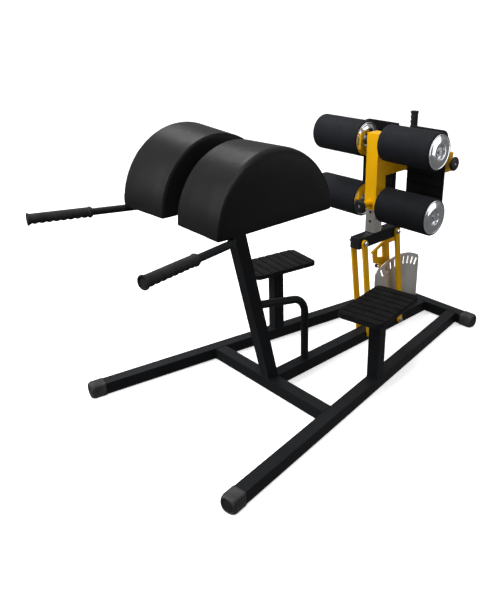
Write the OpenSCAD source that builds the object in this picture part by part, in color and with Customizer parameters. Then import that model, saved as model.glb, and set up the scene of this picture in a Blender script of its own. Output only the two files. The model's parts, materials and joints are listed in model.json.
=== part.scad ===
// Glute ham developer.
// A free-standing base carries two half-round thigh pads on a leaning upright, two steps, and an ankle
// roller head. The head swings on a parallelogram of four links, slides on a height post, and holds two
// footplates that slide on a rear arm.
// Millimetres, +Z up. The hand grips point to -Y and the footplates stand towards +Y.

/* [Base frame] */
// Length from the tips of the hand grips to the rear feet
overall_length = 1824; // [1800:1:1850]
// Outside width of the square frame tubes
tube = 50; // [48:1:51]
// Wall of the square frame tubes
wall = 3; // [2:0.5:4]
// Half the spread of the rails at their front ends
rail_front_x = 439; // [430:1:450]
// Half the spread of the rails where they meet the rear crossbar
rail_rear_x = 180; // [170:1:190]
// Place of the rails' front ends
rail_front_y = -735; // [-750:1:-720]
// Place of the front crossbeam between the rails
crossbeam_y = -171; // [-180:1:-160]
// Half the length of the rear crossbar with its end caps
rear_half = 289; // [275:1:300]
// Outside width of the rubber end caps
cap_w = 58; // [56:1:62]
// Length of a rubber end cap
cap_l = 60; // [45:1:70]

/* [Upright and brace] */
// Forward lean of the upright
upright_lean = 12.7; // [11:0.1:13.5]
// Height of the underside of the pad crossbar
crossbar_z = 776; // [765:1:785]
// Outside diameter of the bent brace tube
brace_d = 32; // [28:1:38]
// Height at which the brace tube leaves the upright
brace_z = 388; // [370:1:400]
// Downward slope of the brace tube before its bend
brace_slope = 11.6; // [8:0.1:14]
// Place of the brace tube's foot on the centre beam
brace_foot_y = 30; // [20:1:40]
// Bend radius of the brace tube on its centre line
brace_bend_r = 80; // [70:1:90]

/* [Thigh pads] */
// Radius of a half-round pad at its inner side
pad_r = 234; // [228:1:240]
// Radius of a half-round pad at its outer side
pad_outer_r = 247; // [234:1:252]
// Width of one pad
pad_w = 225; // [210:1:235]
// Gap between the two pads
pad_gap = 80; // [70:1:90]
// Height of the flat underside of the pads
pad_z = 812; // [806:1:820]
// Place of the pads' centre
pad_y = -349; // [-355:1:-343]
// Radius of the rolled edge round a pad's inner side
pad_inner_edge = 9; // [6:1:16]
// Radius of the rolled edge round a pad's outer side
pad_outer_edge = 24; // [10:1:34]

/* [Hand grips] */
// Outward splay of the handle tubes
handle_splay = 14.2; // [12:0.1:16]
// Splay of the handle tubes' hidden roots under the pads
handle_root_splay = 50.9; // [49:0.1:52]
// Upward tilt of the handle tubes
handle_rise = 2.2; // [0:0.1:3]
// Outside diameter of a handle tube
handle_d = 25; // [22:1:27]
// Outside diameter of a rubber hand grip
grip_d = 34; // [32:1:38]
// Length of a rubber hand grip
grip_l = 212; // [180:1:230]

/* [Steps] */
// Height of the top of the steps
step_z = 376; // [350:1:400]
// Place of the steps along the base
step_y = 140; // [120:1:160]
// Width of a step across its rail
step_w = 196; // [180:1:210]
// Length of a step along its rail
step_l = 326; // [300:1:340]
// Corner radius of a step
step_r = 35; // [20:1:45]

/* [Swing linkage] */
// Place of the front lower pivots
pivot_y = 421; // [415:1:427]
// Distance from the front pivots to the rear pivots
pivot_gap = 223; // [219:1:227]
// Height of the lower pivots
pivot_z = 32; // [28:1:34]
// Rise of a link from its lower pivot to its upper pivot
link_rise = 465; // [460:1:475]
// Forward lean of a link, from its lower pivot to its upper pivot
link_lean = 63; // [58:1:68]
// Width of a link bar
link_w = 30; // [28:1:34]
// Thickness of a link bar
link_t = 10; // [8:1:11]
// Diameter of the pivot bolts
pivot_d = 12; // [10:1:13]

/* [Quadrant] */
// Radius of the quadrant's top edge about the rear lower pivots
quadrant_r = 326; // [322:1:332]
// Half the length of the quadrant
quadrant_half = 162; // [158:1:166]
// Radius of the slots' middles about the rear lower pivots
slot_r = 292; // [288:1:295]
// Number of slots
slot_count = 9; // [9]
// Angle between neighbouring slots
slot_pitch = 6.4; // [6.2:0.1:6.5]
// Width of a slot
slot_w = 12; // [11:0.5:13]
// Length of a slot
slot_l = 40; // [30:1:42]

/* [Roller head] */
// Outside width of the sleeve that slides on the height post
sleeve_w = 60; // [59:1:62]
// Place of the height post
post_y = 451; // [445:1:455]
// Height of the post's top
post_top = 862; // [856:1:866]
// Underside of the sleeve
sleeve_z = 628; // [620:1:632]
// Height of the sleeve
sleeve_h = 327; // [320:1:335]
// Radius of an ankle roller
roller_r = 76; // [70:1:80]
// Length of an ankle roller
roller_l = 252; // [240:1:258]
// Height of the upper rollers' axis
roller_top_z = 920; // [915:1:925]
// Height of the lower rollers' axis
roller_low_z = 656; // [650:1:660]
// Distance between neighbouring holes in the height post
hole_pitch = 42; // [40:1:42]

/* [Footplates] */
// Height of the footplate arm
arm_h = 80; // [76:1:82]
// Underside of the footplate arm
arm_z = 773; // [770:1:776]
// Rear end of the footplate arm
arm_end = 802; // [796:1:806]
// Front face of the footplates' rubber
foot_y = 622; // [615:1:626]
// Width of one footplate
foot_w = 187; // [180:1:192]
// Height of one footplate
foot_h = 360; // [340:1:370]
// Underside of the footplates
foot_z = 605; // [600:1:612]

/* [Hidden] */

// Circle fineness of round parts
$fn = 64;
// Running clearance on a radius, gap between faces of different bodies, and seam at a tube's bend
fit = 0.05;
gap = 0.3;
seam = 0.02;
// Overshoot of cutting shapes
over = 1;

// Colours
black_paint = "#17181a";
yellow_paint = "#dba211";
steel = "#c3c5c8";
chrome = "#dfe1e4";
rubber = "#151515";
vinyl = "#111112";
plywood = "#b98d5a";
bronze = "#a87b43";
plastic = "#0e0e0f";
nylon = "#e8e6df";

// Base frame
tube_bottom = (cap_w - tube) / 2;
tube_top = tube_bottom + tube;
rear_bar_y = overall_length / 2 - cap_w / 2;
rail_end_y = rear_bar_y - tube / 2;
rail_yaw = atan((rail_front_x - rail_rear_x) / (rail_end_y - rail_front_y));
cap_end = 6;
beam_start = crossbeam_y + tube / 2;

// Upright, brace and pad frame
upright_foot_y = crossbeam_y + 2;
brace_wall = 2.5;
crossbar_w = 40;
crossbar_h = 30;
crossbar_half = 184;
rail_flat_w = 60;
rail_flat_l = 400;
rail_flat_t = pad_z - crossbar_z - crossbar_h;
pad_mid_x = (pad_gap + pad_w) / 2;
board_t = 12;
board_inset = 22;
pad_corner = 12;
board_l = 2 * pad_r - 44;
pad_bolt_reach = 150;
pad_bolt_r = 4;

// Handle tubes, in a tilted plane whose forward axis starts under the pads' centre
handle_z = crossbar_z + crossbar_h / 2 - 4;
handle_bend_r = 60;
handle_wall = 2.5;
handle_corner = [264.4, 194.1];
handle_tangent = handle_bend_r * tan((handle_root_splay - handle_splay) / 2);
handle_root_l = (handle_corner[1] - 5) / cos(handle_root_splay);
grip_flange_r = grip_d / 2 + 2;
grip_end = 8;
handle_along = cos(handle_splay) * cos(handle_rise);
handle_reach = overall_length / 2 + pad_y - handle_corner[1] * cos(handle_rise);
handle_l = (handle_reach - grip_flange_r * sqrt(1 - handle_along * handle_along)) / handle_along;

// Steps
tread_t = 4;
rib_t = 4;
rib_pitch = 40;
rib_w = 34;
step_plate_t = 10;
step_x = rail_front_x - (step_y - rail_front_y) * tan(rail_yaw);
step_post_top = step_z - tread_t - rib_t - step_plate_t;

// Linkage
rear_y = pivot_y + pivot_gap;
upper_z = pivot_z + link_rise;
link_len = sqrt(link_rise * link_rise + link_lean * link_lean);
link_angle = atan2(link_rise, -link_lean);
link_x = tube / 2 + 2;
bush_wall = 3;
bush_r = pivot_d / 2 + bush_wall;
bolt_head_r = pivot_d / 2 + 4;
bolt_head_t = 7;
bolt_reach = link_x + link_t + gap;

// Quadrant and its lock. The pin stands in line with the second slot when the links are at rest.
quadrant_t = 6;
quadrant_corner = 25;
slot_first = -3.6 * slot_pitch - 0.56;
pin_angle = slot_first + slot_pitch;
lock_y = rear_y + slot_r * sin(pin_angle);
lock_z = pivot_z + slot_r * cos(pin_angle);
lock_pin_r = 5;
lock_barrel_r = 11;
lock_knob_t = 12;
pin_travel = 12;

// Head
post_bottom = upper_z + tube / 2;
sleeve_wall = 3;
liner_t = sleeve_w / 2 - sleeve_wall - tube / 2 - gap;
liner_h = 30;
first_hole_z = 573;
hole_count = 7;
gusset = [42, 20];
height_pin_z = first_hole_z + 2 * hole_pitch;
height_pin_r = 6;
sleeve_front = post_y - sleeve_w / 2;
knob_r = 30;
roller_x = 55;
roller_bore = 12.5;
roller_y = post_y + 2;

// Arm, slider and footplates
arm_start = post_y + sleeve_w / 2;
arm_w = 60;
arm_mid = arm_z + arm_h / 2;
slider_y = foot_y + 14;
slider_l = 86;
slider_w = 74;
slider_h = 94;
cross_l = 178;
cross_d = 50;
cross_h = 80;
cross_z = arm_mid + 17;
foot_pin_y = slider_y + cross_d / 2;
foot_pin_z = cross_z - 2;
foot_pin_r = 5;
foot_pitch = 30;
foot_tread_t = 8;
foot_plate_t = 6;
foot_x = 32;
foot_corner = 22;

// Square tube from the origin along +Y, open at both ends
module square_tube(w, h, l, t) {
    difference() {
        translate([-w / 2, 0, -h / 2])
            cube([w, l, h]);
        translate([-w / 2 + t, -over, -h / 2 + t])
            cube([w - 2 * t, l + 2 * over, h - 2 * t]);
    }
}

// Plastic plug for a square tube's end: a flange at y = 0 to flange_t and an insert behind it
module tube_plug(w, h, t, flange_t, insert_l) {
    translate([-w / 2, 0, -h / 2])
        cube([w, flange_t, h]);
    translate([-w / 2 + t + 0.2, flange_t, -h / 2 + t + 0.2])
        cube([w - 2 * t - 0.4, insert_l, h - 2 * t - 0.4]);
}

// Rod along +X
module rod_x(x, y, z, r, l) {
    translate([x, y, z])
        rotate([0, 90, 0])
            cylinder(r = r, h = l);
}

// Rod along +Y
module rod_y(x, y, z, r, l) {
    translate([x, y, z])
        rotate([-90, 0, 0])
            cylinder(r = r, h = l);
}

// Round tube along +Z
module round_tube(r, wall, l) {
    difference() {
        cylinder(r = r, h = l);
        translate([0, 0, -over])
            cylinder(r = r - wall, h = l + 2 * over);
    }
}

// Bend of a round tube about the Z axis
module tube_bend(r, wall, bend_r, angle) {
    rotate_extrude(angle = angle)
        translate([bend_r, 0])
            difference() {
                circle(r = r);
                circle(r = r - wall);
            }
}

// Hexagon head along +X
module hex_x(x, y, z, r, l) {
    translate([x, y, z])
        rotate([0, 90, 0])
            cylinder(r = r, h = l, $fn = 6);
}

// A shape drawn in Y and Z, given thickness along +X from x
module side_plate(x, t) {
    translate([x, 0, 0])
        rotate([90, 0, 90])
            linear_extrude(height = t)
                children();
}

// Shape on the right side and its mirror image on the left
module both_sides() {
    children();
    mirror([1, 0, 0])
        children();
}

// Rectangle with round corners, from true arcs
module round_rect(w, l, r) {
    translate([-w / 2 + r, -l / 2])
        square([w - 2 * r, l]);
    translate([-w / 2, -l / 2 + r])
        square([w, l - 2 * r]);
    for (sx = [-1, 1], sy = [-1, 1])
        translate([sx * (w / 2 - r), sy * (l / 2 - r)])
            circle(r = r);
}

// Base frame

// Places a child, drawn along +Y from the origin, on the right rail's centre line
module on_rail() {
    translate([rail_front_x, rail_front_y, tube_bottom + tube / 2])
        rotate([0, 0, rail_yaw])
            children();
}

module rail_right() {
    color(black_paint)
        difference() {
            on_rail()
                square_tube(tube, tube, 1660, wall);
            translate([0, rail_end_y, -over])
                cube([2 * rail_front_x, 200, cap_w + 2 * over]);
        }
}

module rail_left() {
    mirror([1, 0, 0])
        rail_right();
}

// Solid outline of both rails, for trimming what butts against them
module rail_blocks() {
    both_sides()
        on_rail()
            translate([-tube / 2, -tube, -tube])
                cube([tube, 1700, 2 * tube]);
}

module front_crossbeam() {
    color(black_paint)
        difference() {
            translate([rail_front_x, crossbeam_y, tube_bottom + tube / 2])
                rotate([0, 0, 90])
                    square_tube(tube, tube, 2 * rail_front_x, wall);
            rail_blocks();
            both_sides()
                translate([rail_front_x - 70, crossbeam_y - tube, -over])
                    cube([200, 2 * tube, cap_w + 2 * over]);
        }
}

module centre_beam() {
    color(black_paint)
        difference() {
            translate([0, beam_start, tube_bottom + tube / 2])
                square_tube(tube, tube, rail_end_y - beam_start, wall);
            for (y = [pivot_y, rear_y])
                rod_x(-tube, y, pivot_z, pivot_d / 2 + fit, 2 * tube);
        }
}

module rear_crossbar() {
    color(black_paint)
        translate([rear_half - cap_end, rear_bar_y, tube_bottom + tube / 2])
            rotate([0, 0, 90])
                square_tube(tube, tube, 2 * (rear_half - cap_end), wall);
}

// Rubber cap over a tube that starts at y = 0 and runs along +Y
module end_cap() {
    difference() {
        translate([-cap_w / 2, -cap_end, -cap_w / 2])
            cube([cap_w, cap_l, cap_w]);
        translate([-tube / 2, 0, -tube / 2])
            cube([tube, cap_l, tube]);
    }
}

module end_caps() {
    color(rubber)
        both_sides() {
            on_rail()
                end_cap();
            translate([rear_half - cap_end, rear_bar_y, tube_bottom + tube / 2])
                rotate([0, 0, 90])
                    end_cap();
        }
}

// Upright, brace and pad frame

module upright_axis() {
    translate([0, upright_foot_y, tube_top])
        rotate([upright_lean, 0, 0])
            children();
}

module upright() {
    color(black_paint)
        intersection() {
            upright_axis()
                difference() {
                    translate([-tube / 2, -tube / 2, -2 * tube])
                        cube([tube, tube, crossbar_z + 4 * tube]);
                    translate([-tube / 2 + wall, -tube / 2 + wall, -3 * tube])
                        cube([tube - 2 * wall, tube - 2 * wall, crossbar_z + 6 * tube]);
                }
            translate([-tube, -tube * 12, tube_top])
                cube([2 * tube, tube * 12, crossbar_z - tube_top]);
        }
}

// The brace tube: a sloping run, a bend and a vertical foot, in the plane x = 0
module brace_tube() {
    r = brace_d / 2;
    turn = 90 - brace_slope;
    rear_face_y = upright_foot_y - (brace_z - tube_top) * tan(upright_lean) + tube / 2 / cos(upright_lean);
    reach = brace_foot_y - rear_face_y;
    centre_y = brace_foot_y - brace_bend_r;
    centre_z = brace_z - reach * tan(brace_slope) - brace_bend_r * tan(turn / 2);
    color(black_paint) {
        translate([0, brace_foot_y, tube_top])
            round_tube(r, brace_wall, centre_z - tube_top);
        translate([0, centre_y, centre_z])
            rotate([90, 0, 90])
                tube_bend(r, brace_wall, brace_bend_r, turn);
        // Sloping run, cut off at the upright's rear face
        difference() {
            translate([0, centre_y + brace_bend_r * cos(turn), centre_z + brace_bend_r * sin(turn)])
                rotate([90 - brace_slope, 0, 0])
                    round_tube(r, brace_wall, reach);
            upright_axis()
                translate([-tube, -500, -tube])
                    cube([2 * tube, 500 + tube / 2, 1200]);
        }
    }
}

// Turns X and forward Y of a flat drawing into the tilted plane of the handle tubes
module handle_plane() {
    translate([0, pad_y, handle_z])
        rotate([180 - handle_rise, 0, 0])
            children();
}

// Places a child, drawn along +Z from the origin, on a straight run from p at angle a outward
module handle_run(p, a) {
    handle_plane()
        translate([p[0], p[1], 0])
            rotate([0, 0, -a])
                rotate([-90, 0, 0])
                    children();
}

// Everything behind the pad crossbar's front face, for trimming what butts against it
module behind_crossbar() {
    translate([-crossbar_half, pad_y - crossbar_w / 2, crossbar_z - crossbar_h])
        cube([2 * crossbar_half, 200, 3 * crossbar_h]);
}

module pad_crossbar() {
    color(black_paint)
        translate([crossbar_half, pad_y, crossbar_z + crossbar_h / 2])
            rotate([0, 0, 90])
                square_tube(crossbar_w, crossbar_h, 2 * crossbar_half, wall);
}

// Flat bars that carry the pads on the crossbar
module pad_rails() {
    color(black_paint)
        both_sides()
            difference() {
                translate([pad_mid_x - rail_flat_w / 2, pad_y - rail_flat_l / 2, pad_z - rail_flat_t])
                    cube([rail_flat_w, rail_flat_l, rail_flat_t]);
                for (s = [-1, 1])
                    translate([pad_mid_x, pad_y + s * pad_bolt_reach, pad_z - 20])
                        cylinder(r = pad_bolt_r + fit, h = 40);
            }
}

module pad_boards() {
    color(plywood)
        both_sides()
            difference() {
                translate([pad_gap / 2 + board_inset, pad_y - board_l / 2, pad_z])
                    cube([pad_w - 2 * board_inset, board_l, board_t]);
                for (s = [-1, 1])
                    translate([pad_mid_x, pad_y + s * pad_bolt_reach, pad_z - 20])
                        cylinder(r = pad_bolt_r + fit, h = 60);
            }
}

// Bolts up through the flat bars into the boards
module pad_bolts() {
    color(steel)
        both_sides()
            for (s = [-1, 1])
                translate([pad_mid_x, pad_y + s * pad_bolt_reach, 0]) {
                    translate([0, 0, pad_z - rail_flat_t])
                        cylinder(r = pad_bolt_r, h = rail_flat_t + board_t);
                    translate([0, 0, pad_z - rail_flat_t - 5.5])
                        cylinder(r = 7, h = 5.5, $fn = 6);
                }
}

// Outline of a half-round pad of radius r in Y and Z, with its two lower corners rounded
function pad_outline(r, f) =
    let (a0 = asin(f / (r - f)), cx = (r - f) * cos(a0))
    concat(
        [for (i = [0:5]) let (a = -90 + i * (90 + a0) / 6) [cx + f * cos(a), f + f * sin(a)]],
        [for (i = [0:36]) let (a = a0 + i * (180 - 2 * a0) / 36) [r * cos(a), r * sin(a)]],
        [for (i = [1:6]) let (a = 180 - a0 + i * (90 + a0) / 6) [-cx + f * cos(a), f + f * sin(a)]]
    );

// One pad section: how far the outline is drawn in, and how far it shrinks towards its middle
function pad_ring(x, inset, shrink) =
    let (
        r = pad_r + (pad_outer_r - pad_r) * x / pad_w,
        mid = [0, 0.42 * pad_r],
        o = pad_outline(r - inset, pad_corner)
    )
    [for (p = o) let (q = [p[0], p[1] + inset / 2], s = mid + (q - mid) * shrink) [x, s[0], s[1]]];

// Sections of one side of the pad, with an edge of radius e: bulged side face, then the rolled edge
side_steps = [[0.5, 0.35], [1.5, 0.7]];
side_in = 3;
function pad_side(e) = concat(
    [for (s = side_steps) [s[0], e + 1, s[1]]],
    [for (i = [0:4]) let (a = i * 22.5) [side_in + e * (1 - cos(a)), 1 + e * (1 - sin(a)), 1]]
);

// The pad's sections from its inner side over the crown to its outer side
function pad_sections() =
    let (outer = pad_side(pad_outer_edge), n = len(outer))
    concat(
        pad_side(pad_inner_edge),
        [for (c = [[0.2, 0.4], [0.35, 0.1], [0.5, 0], [0.65, 0.1], [0.8, 0.4]]) [pad_w * c[0], c[1], 1]],
        [for (i = [1:n]) [pad_w - outer[n - i][0], outer[n - i][1], outer[n - i][2]]]
    );

module pad_form() {
    sections = pad_sections();
    rings = [for (s = sections) pad_ring(s[0], s[1], s[2])];
    m = len(rings[0]);
    n = len(rings);
    centre = [0, 0.42 * pad_r];
    points = concat(
        [for (r = rings) for (p = r) p],
        [[0, centre[0], centre[1]], [pad_w, centre[0], centre[1]]]
    );
    faces = concat(
        [for (j = [0:n - 2]) for (i = [0:m - 1]) [j * m + i, (j + 1) * m + (i + 1) % m, j * m + (i + 1) % m]],
        [for (j = [0:n - 2]) for (i = [0:m - 1]) [j * m + i, (j + 1) * m + i, (j + 1) * m + (i + 1) % m]],
        [for (i = [0:m - 1]) [n * m, i, (i + 1) % m]],
        [for (i = [0:m - 1]) [n * m + 1, (n - 1) * m + (i + 1) % m, (n - 1) * m + i]]
    );
    polyhedron(points = points, faces = faces);
}

module pad_right() {
    color(vinyl)
        difference() {
            translate([pad_gap / 2, pad_y, pad_z])
                pad_form();
            translate([pad_gap / 2 + board_inset, pad_y - board_l / 2, pad_z - over])
                cube([pad_w - 2 * board_inset, board_l, board_t + over]);
        }
}

module pad_left() {
    mirror([1, 0, 0])
        pad_right();
}

// Handle tubes and grips

// A root from the crossbar under the pad, a bend, and the outer run into the grip
module handle_tube_right() {
    r = handle_d / 2;
    root_dir = [sin(handle_root_splay), cos(handle_root_splay)];
    out_dir = [sin(handle_splay), cos(handle_splay)];
    bend_start = handle_corner - handle_tangent * root_dir;
    bend_centre = bend_start + handle_bend_r * [-root_dir[1], root_dir[0]];
    color(black_paint) {
        difference() {
            handle_run(handle_corner - handle_root_l * root_dir, handle_root_splay)
                round_tube(r, handle_wall, handle_root_l - handle_tangent - seam);
            behind_crossbar();
        }
        handle_plane()
            translate([bend_centre[0], bend_centre[1], 0])
                rotate([0, 0, -handle_root_splay])
                    tube_bend(r, handle_wall, handle_bend_r, handle_root_splay - handle_splay);
        handle_run(handle_corner + (handle_tangent + seam) * out_dir, handle_splay)
            round_tube(r, handle_wall, handle_l - handle_tangent - seam - grip_end);
    }
}

module handle_tube_left() {
    mirror([1, 0, 0])
        handle_tube_right();
}

// Outline of a ribbed rubber grip of length l: a flange at each end and shallow ribs between
function grip_outline(r, bore, l, flange, pitch, depth) =
    let (n = floor((l - 14) / pitch), start = (l - n * pitch) / 2)
    concat(
        [[bore, 0], [flange - 1, 0], [flange, 1], [flange, 4], [r - depth, 6]],
        [for (i = [0:n - 1]) for (k = [0:3])
            let (z = start + i * pitch)
            [r - (k == 0 || k == 3 ? depth : 0), z + pitch * [0.1, 0.25, 0.75, 0.9][k]]],
        [[r - depth, l - 6], [flange, l - 4], [flange, l - 1], [flange - 1, l], [bore, l]]
    );

module hand_grip_right() {
    color(rubber)
        handle_run(handle_corner, handle_splay)
            translate([0, 0, handle_l - grip_l])
                rotate_extrude()
                    polygon(grip_outline(grip_d / 2, handle_d / 2 + fit, grip_l, grip_flange_r, 12, 1.4));
}

module hand_grip_left() {
    mirror([1, 0, 0])
        hand_grip_right();
}

// Steps

module on_step() {
    translate([step_x, step_y, 0])
        rotate([0, 0, rail_yaw])
            children();
}

module step_posts() {
    post_h = step_post_top - tube_top;
    color(black_paint)
        both_sides()
            on_step()
                translate([-tube / 2, -tube / 2, tube_top])
                    difference() {
                        cube([tube, tube, post_h]);
                        translate([wall, wall, -over])
                            cube([tube - 2 * wall, tube - 2 * wall, post_h + 2 * over]);
                    }
}

module step_plates() {
    color(black_paint)
        both_sides()
            on_step()
                translate([0, 0, step_post_top])
                    linear_extrude(height = step_plate_t)
                        round_rect(step_w, step_l, step_r);
}

// Rubber tread with ribs across the step
module step_treads() {
    rib_n = floor(step_l / rib_pitch);
    color(rubber)
        both_sides()
            on_step()
                translate([0, 0, step_post_top + step_plate_t]) {
                    linear_extrude(height = tread_t)
                        round_rect(step_w, step_l, step_r);
                    intersection() {
                        for (i = [0:rib_n - 1])
                            translate([-step_w / 2, (i - (rib_n - 1) / 2) * rib_pitch - rib_w / 2, tread_t])
                                cube([step_w, rib_w, rib_t]);
                        translate([0, 0, tread_t])
                            linear_extrude(height = rib_t)
                                round_rect(step_w - 6, step_l - 6, step_r - 3);
                    }
                }
}

// Quadrant and linkage

module slot_shape() {
    translate([-slot_w / 2, -slot_l / 2 + slot_w / 2])
        square([slot_w, slot_l - slot_w]);
    for (s = [-1, 1])
        translate([0, s * (slot_l - slot_w) / 2])
            circle(r = slot_w / 2);
}

// Outline of the quadrant about the rear lower pivots: an arc above straight sides, with round corners
module quadrant_outline() {
    r = quadrant_corner;
    x = quadrant_half - r;
    z = sqrt((quadrant_r - r) * (quadrant_r - r) - x * x);
    tangent_x = x * quadrant_r / (quadrant_r - r);
    bottom = tube_top - pivot_z;
    intersection() {
        circle(r = quadrant_r, $fn = 180);
        translate([-tangent_x, bottom])
            square([2 * tangent_x, quadrant_r]);
    }
    translate([-quadrant_half, bottom])
        square([2 * quadrant_half, z - bottom]);
    for (s = [-1, 1])
        translate([s * x, z])
            circle(r = r);
}

module quadrant_plate() {
    color(steel)
        side_plate(-quadrant_t / 2, quadrant_t)
            translate([rear_y, pivot_z])
                difference() {
                    quadrant_outline();
                    for (i = [0:slot_count - 1])
                        rotate(-slot_first - i * slot_pitch)
                            translate([0, slot_r])
                                slot_shape();
                }
}

// Pivot bolt along X through a 50 mm tube and the two links beside it
module pivot_bolt(y, z) {
    rod_x(-bolt_reach, y, z, pivot_d / 2, 2 * bolt_reach);
    rod_x(bolt_reach, y, z, bolt_head_r + 1, 1.5);
    hex_x(bolt_reach + 1.5, y, z, bolt_head_r, bolt_head_t);
    rod_x(-bolt_reach - 1.5, y, z, bolt_head_r + 1, 1.5);
    hex_x(-bolt_reach - 1.5 - bolt_head_t - 2, y, z, bolt_head_r, bolt_head_t + 2);
}

module lower_pivot_bolts() {
    color(steel)
        for (y = [pivot_y, rear_y])
            pivot_bolt(y, pivot_z);
}

module upper_pivot_bolts() {
    color(steel)
        for (y = [pivot_y, rear_y])
            pivot_bolt(y - link_lean, upper_z);
}

// Flat link bar from a lower pivot at y to its upper pivot, on the right side
module link_bar(y) {
    side_plate(link_x, link_t)
        difference() {
            translate([y, pivot_z])
                rotate(link_angle) {
                    translate([0, -link_w / 2])
                        square([link_len, link_w]);
                    circle(r = link_w / 2);
                    translate([link_len, 0])
                        circle(r = link_w / 2);
                }
            translate([y, pivot_z])
                circle(r = bush_r);
            translate([y - link_lean, upper_z])
                circle(r = bush_r);
        }
}

// Bronze bushes at both ends of a pair of links; bore is the radius of their holes
module link_bushes(y, bore) {
    both_sides()
        for (p = [[y, pivot_z], [y - link_lean, upper_z]])
            translate([link_x, p[0], p[1]])
                rotate([0, 90, 0])
                    difference() {
                        cylinder(r = bush_r, h = link_t);
                        translate([0, 0, -over])
                            cylinder(r = bore, h = link_t + 2 * over);
                    }
}

module front_link_bars() {
    color(yellow_paint)
        both_sides()
            link_bar(pivot_y);
}

module front_link_bushes() {
    color(bronze)
        link_bushes(pivot_y, pivot_d / 2 + fit);
}

module rear_link_right() {
    color(yellow_paint)
        link_bar(rear_y);
}

module rear_link_left() {
    color(yellow_paint)
        mirror([1, 0, 0])
            link_bar(rear_y);
}

module rear_link_bushes() {
    color(bronze)
        link_bushes(rear_y, pivot_d / 2 + fit);
}

// Hand plate welded to the left rear link: a pointed front with a finger window, a foot round the lock pin,
// and a short tab behind the link
module swing_handle() {
    nose = [rear_y - 164, upper_z - 97];
    foot_r = lock_pin_r + 6;
    color(yellow_paint)
        side_plate(-link_x - link_t, link_t)
            difference() {
                union() {
                    polygon([
                        nose, nose + [87, 37], nose + [104, 37], nose + [118, -100],
                        [lock_y, lock_z - foot_r], [lock_y - foot_r, lock_z],
                        nose + [66, -68], nose + [24, -54], nose + [17, -7]
                    ]);
                    polygon([nose + [104, 20], nose + [184, 20], nose + [184, 46], nose + [104, 46]]);
                    translate([lock_y, lock_z])
                        circle(r = foot_r);
                }
                // Finger window
                polygon([nose + [44, 6], nose + [74, 18], nose + [84, 18], nose + [90, -40], nose + [46, -32]]);
                translate([lock_y, lock_z])
                    circle(r = lock_pin_r + fit);
                // Room for the link bar itself
                translate([rear_y, pivot_z])
                    rotate(link_angle)
                        translate([0, -link_w / 2])
                            square([link_len + link_w, link_w]);
            }
}

module lock_barrel() {
    color(yellow_paint)
        difference() {
            rod_x(-link_x, lock_y, lock_z, lock_barrel_r, link_x - quadrant_t / 2 - 4);
            rod_x(-2 * link_x, lock_y, lock_z, lock_pin_r + fit, 4 * link_x);
        }
}

module lock_pin() {
    start = -link_x - link_t - pin_travel - gap - lock_knob_t;
    color(steel)
        rod_x(start, lock_y, lock_z, lock_pin_r, -quadrant_t / 2 - 2 - start);
}

// Round pull knob of radius r along +Z, its neck towards the work at z = 0
module knob(r, bore) {
    rotate_extrude()
        polygon([
            [bore, 0], [r * 0.45, 0], [r * 0.45, 5], [r * 0.86, 6.5], [r * 0.97, 9],
            [r, 12], [r * 0.97, 16], [r * 0.86, 18.5], [r * 0.6, 20], [bore, 20]
        ]);
}

module lock_knob() {
    color(plastic)
        translate([-link_x - link_t - pin_travel - gap, lock_y, lock_z])
            rotate([0, -90, 0])
                rotate_extrude()
                    polygon([
                        [lock_pin_r, 0], [8.5, 0], [9.5, 1], [9.5, lock_knob_t - 1],
                        [8.5, lock_knob_t], [lock_pin_r, lock_knob_t]
                    ]);
}

// Carriage and height post

module carriage_tube() {
    color(black_paint)
        difference() {
            translate([0, pivot_y - link_lean - 25, upper_z])
                square_tube(tube, tube, pivot_gap + 50 + 5, wall);
            for (y = [pivot_y, rear_y])
                rod_x(-tube, y - link_lean, upper_z, pivot_d / 2 + fit, 2 * tube);
        }
}

module carriage_plugs() {
    color(plastic) {
        translate([0, pivot_y - link_lean - 28, upper_z])
            tube_plug(tube, tube, wall, 3, 12);
        translate([0, rear_y - link_lean + 33, upper_z])
            mirror([0, 1, 0])
                tube_plug(tube, tube, wall, 3, 12);
    }
}

// The post, with a small gusset behind its foot
module height_post() {
    color(steel) {
        side_plate(-3, 6)
            translate([post_y + tube / 2, post_bottom])
                polygon([[0, 0], [gusset[0], 0], [0, gusset[1]]]);
        difference() {
            translate([-tube / 2, post_y - tube / 2, post_bottom])
                cube([tube, tube, post_top - post_bottom]);
            translate([-tube / 2 + wall, post_y - tube / 2 + wall, post_bottom - over])
                cube([tube - 2 * wall, tube - 2 * wall, post_top]);
            for (i = [0:hole_count - 1])
                rod_y(0, post_y - tube, first_hole_z + i * hole_pitch, height_pin_r + 0.4, tube);
        }
    }
}

// Roller head

// Square sleeve, closed above by a top plate with a small hole
module height_sleeve() {
    color(yellow_paint)
        difference() {
            translate([-sleeve_w / 2, sleeve_front, sleeve_z])
                cube([sleeve_w, sleeve_w, sleeve_h]);
            translate([-sleeve_w / 2 + sleeve_wall, sleeve_front + sleeve_wall, sleeve_z - over])
                cube([sleeve_w - 2 * sleeve_wall, sleeve_w - 2 * sleeve_wall, sleeve_h - sleeve_wall + over]);
            translate([0, post_y, sleeve_z])
                cylinder(r = 4, h = sleeve_h + over);
            rod_y(0, sleeve_front - over, height_pin_z, height_pin_r + fit, 10);
        }
}

// Nylon liners that guide the sleeve on the post
module sleeve_liners() {
    inner = sleeve_w - 2 * sleeve_wall;
    color(nylon)
        for (z = [sleeve_z + 42, height_pin_z + 40 + liner_h])
            difference() {
                translate([-inner / 2, post_y - inner / 2, z])
                    cube([inner, inner, liner_h]);
                translate([-inner / 2 + liner_t, post_y - inner / 2 + liner_t, z - over])
                    cube([inner - 2 * liner_t, inner - 2 * liner_t, liner_h + 2 * over]);
            }
}

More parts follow.
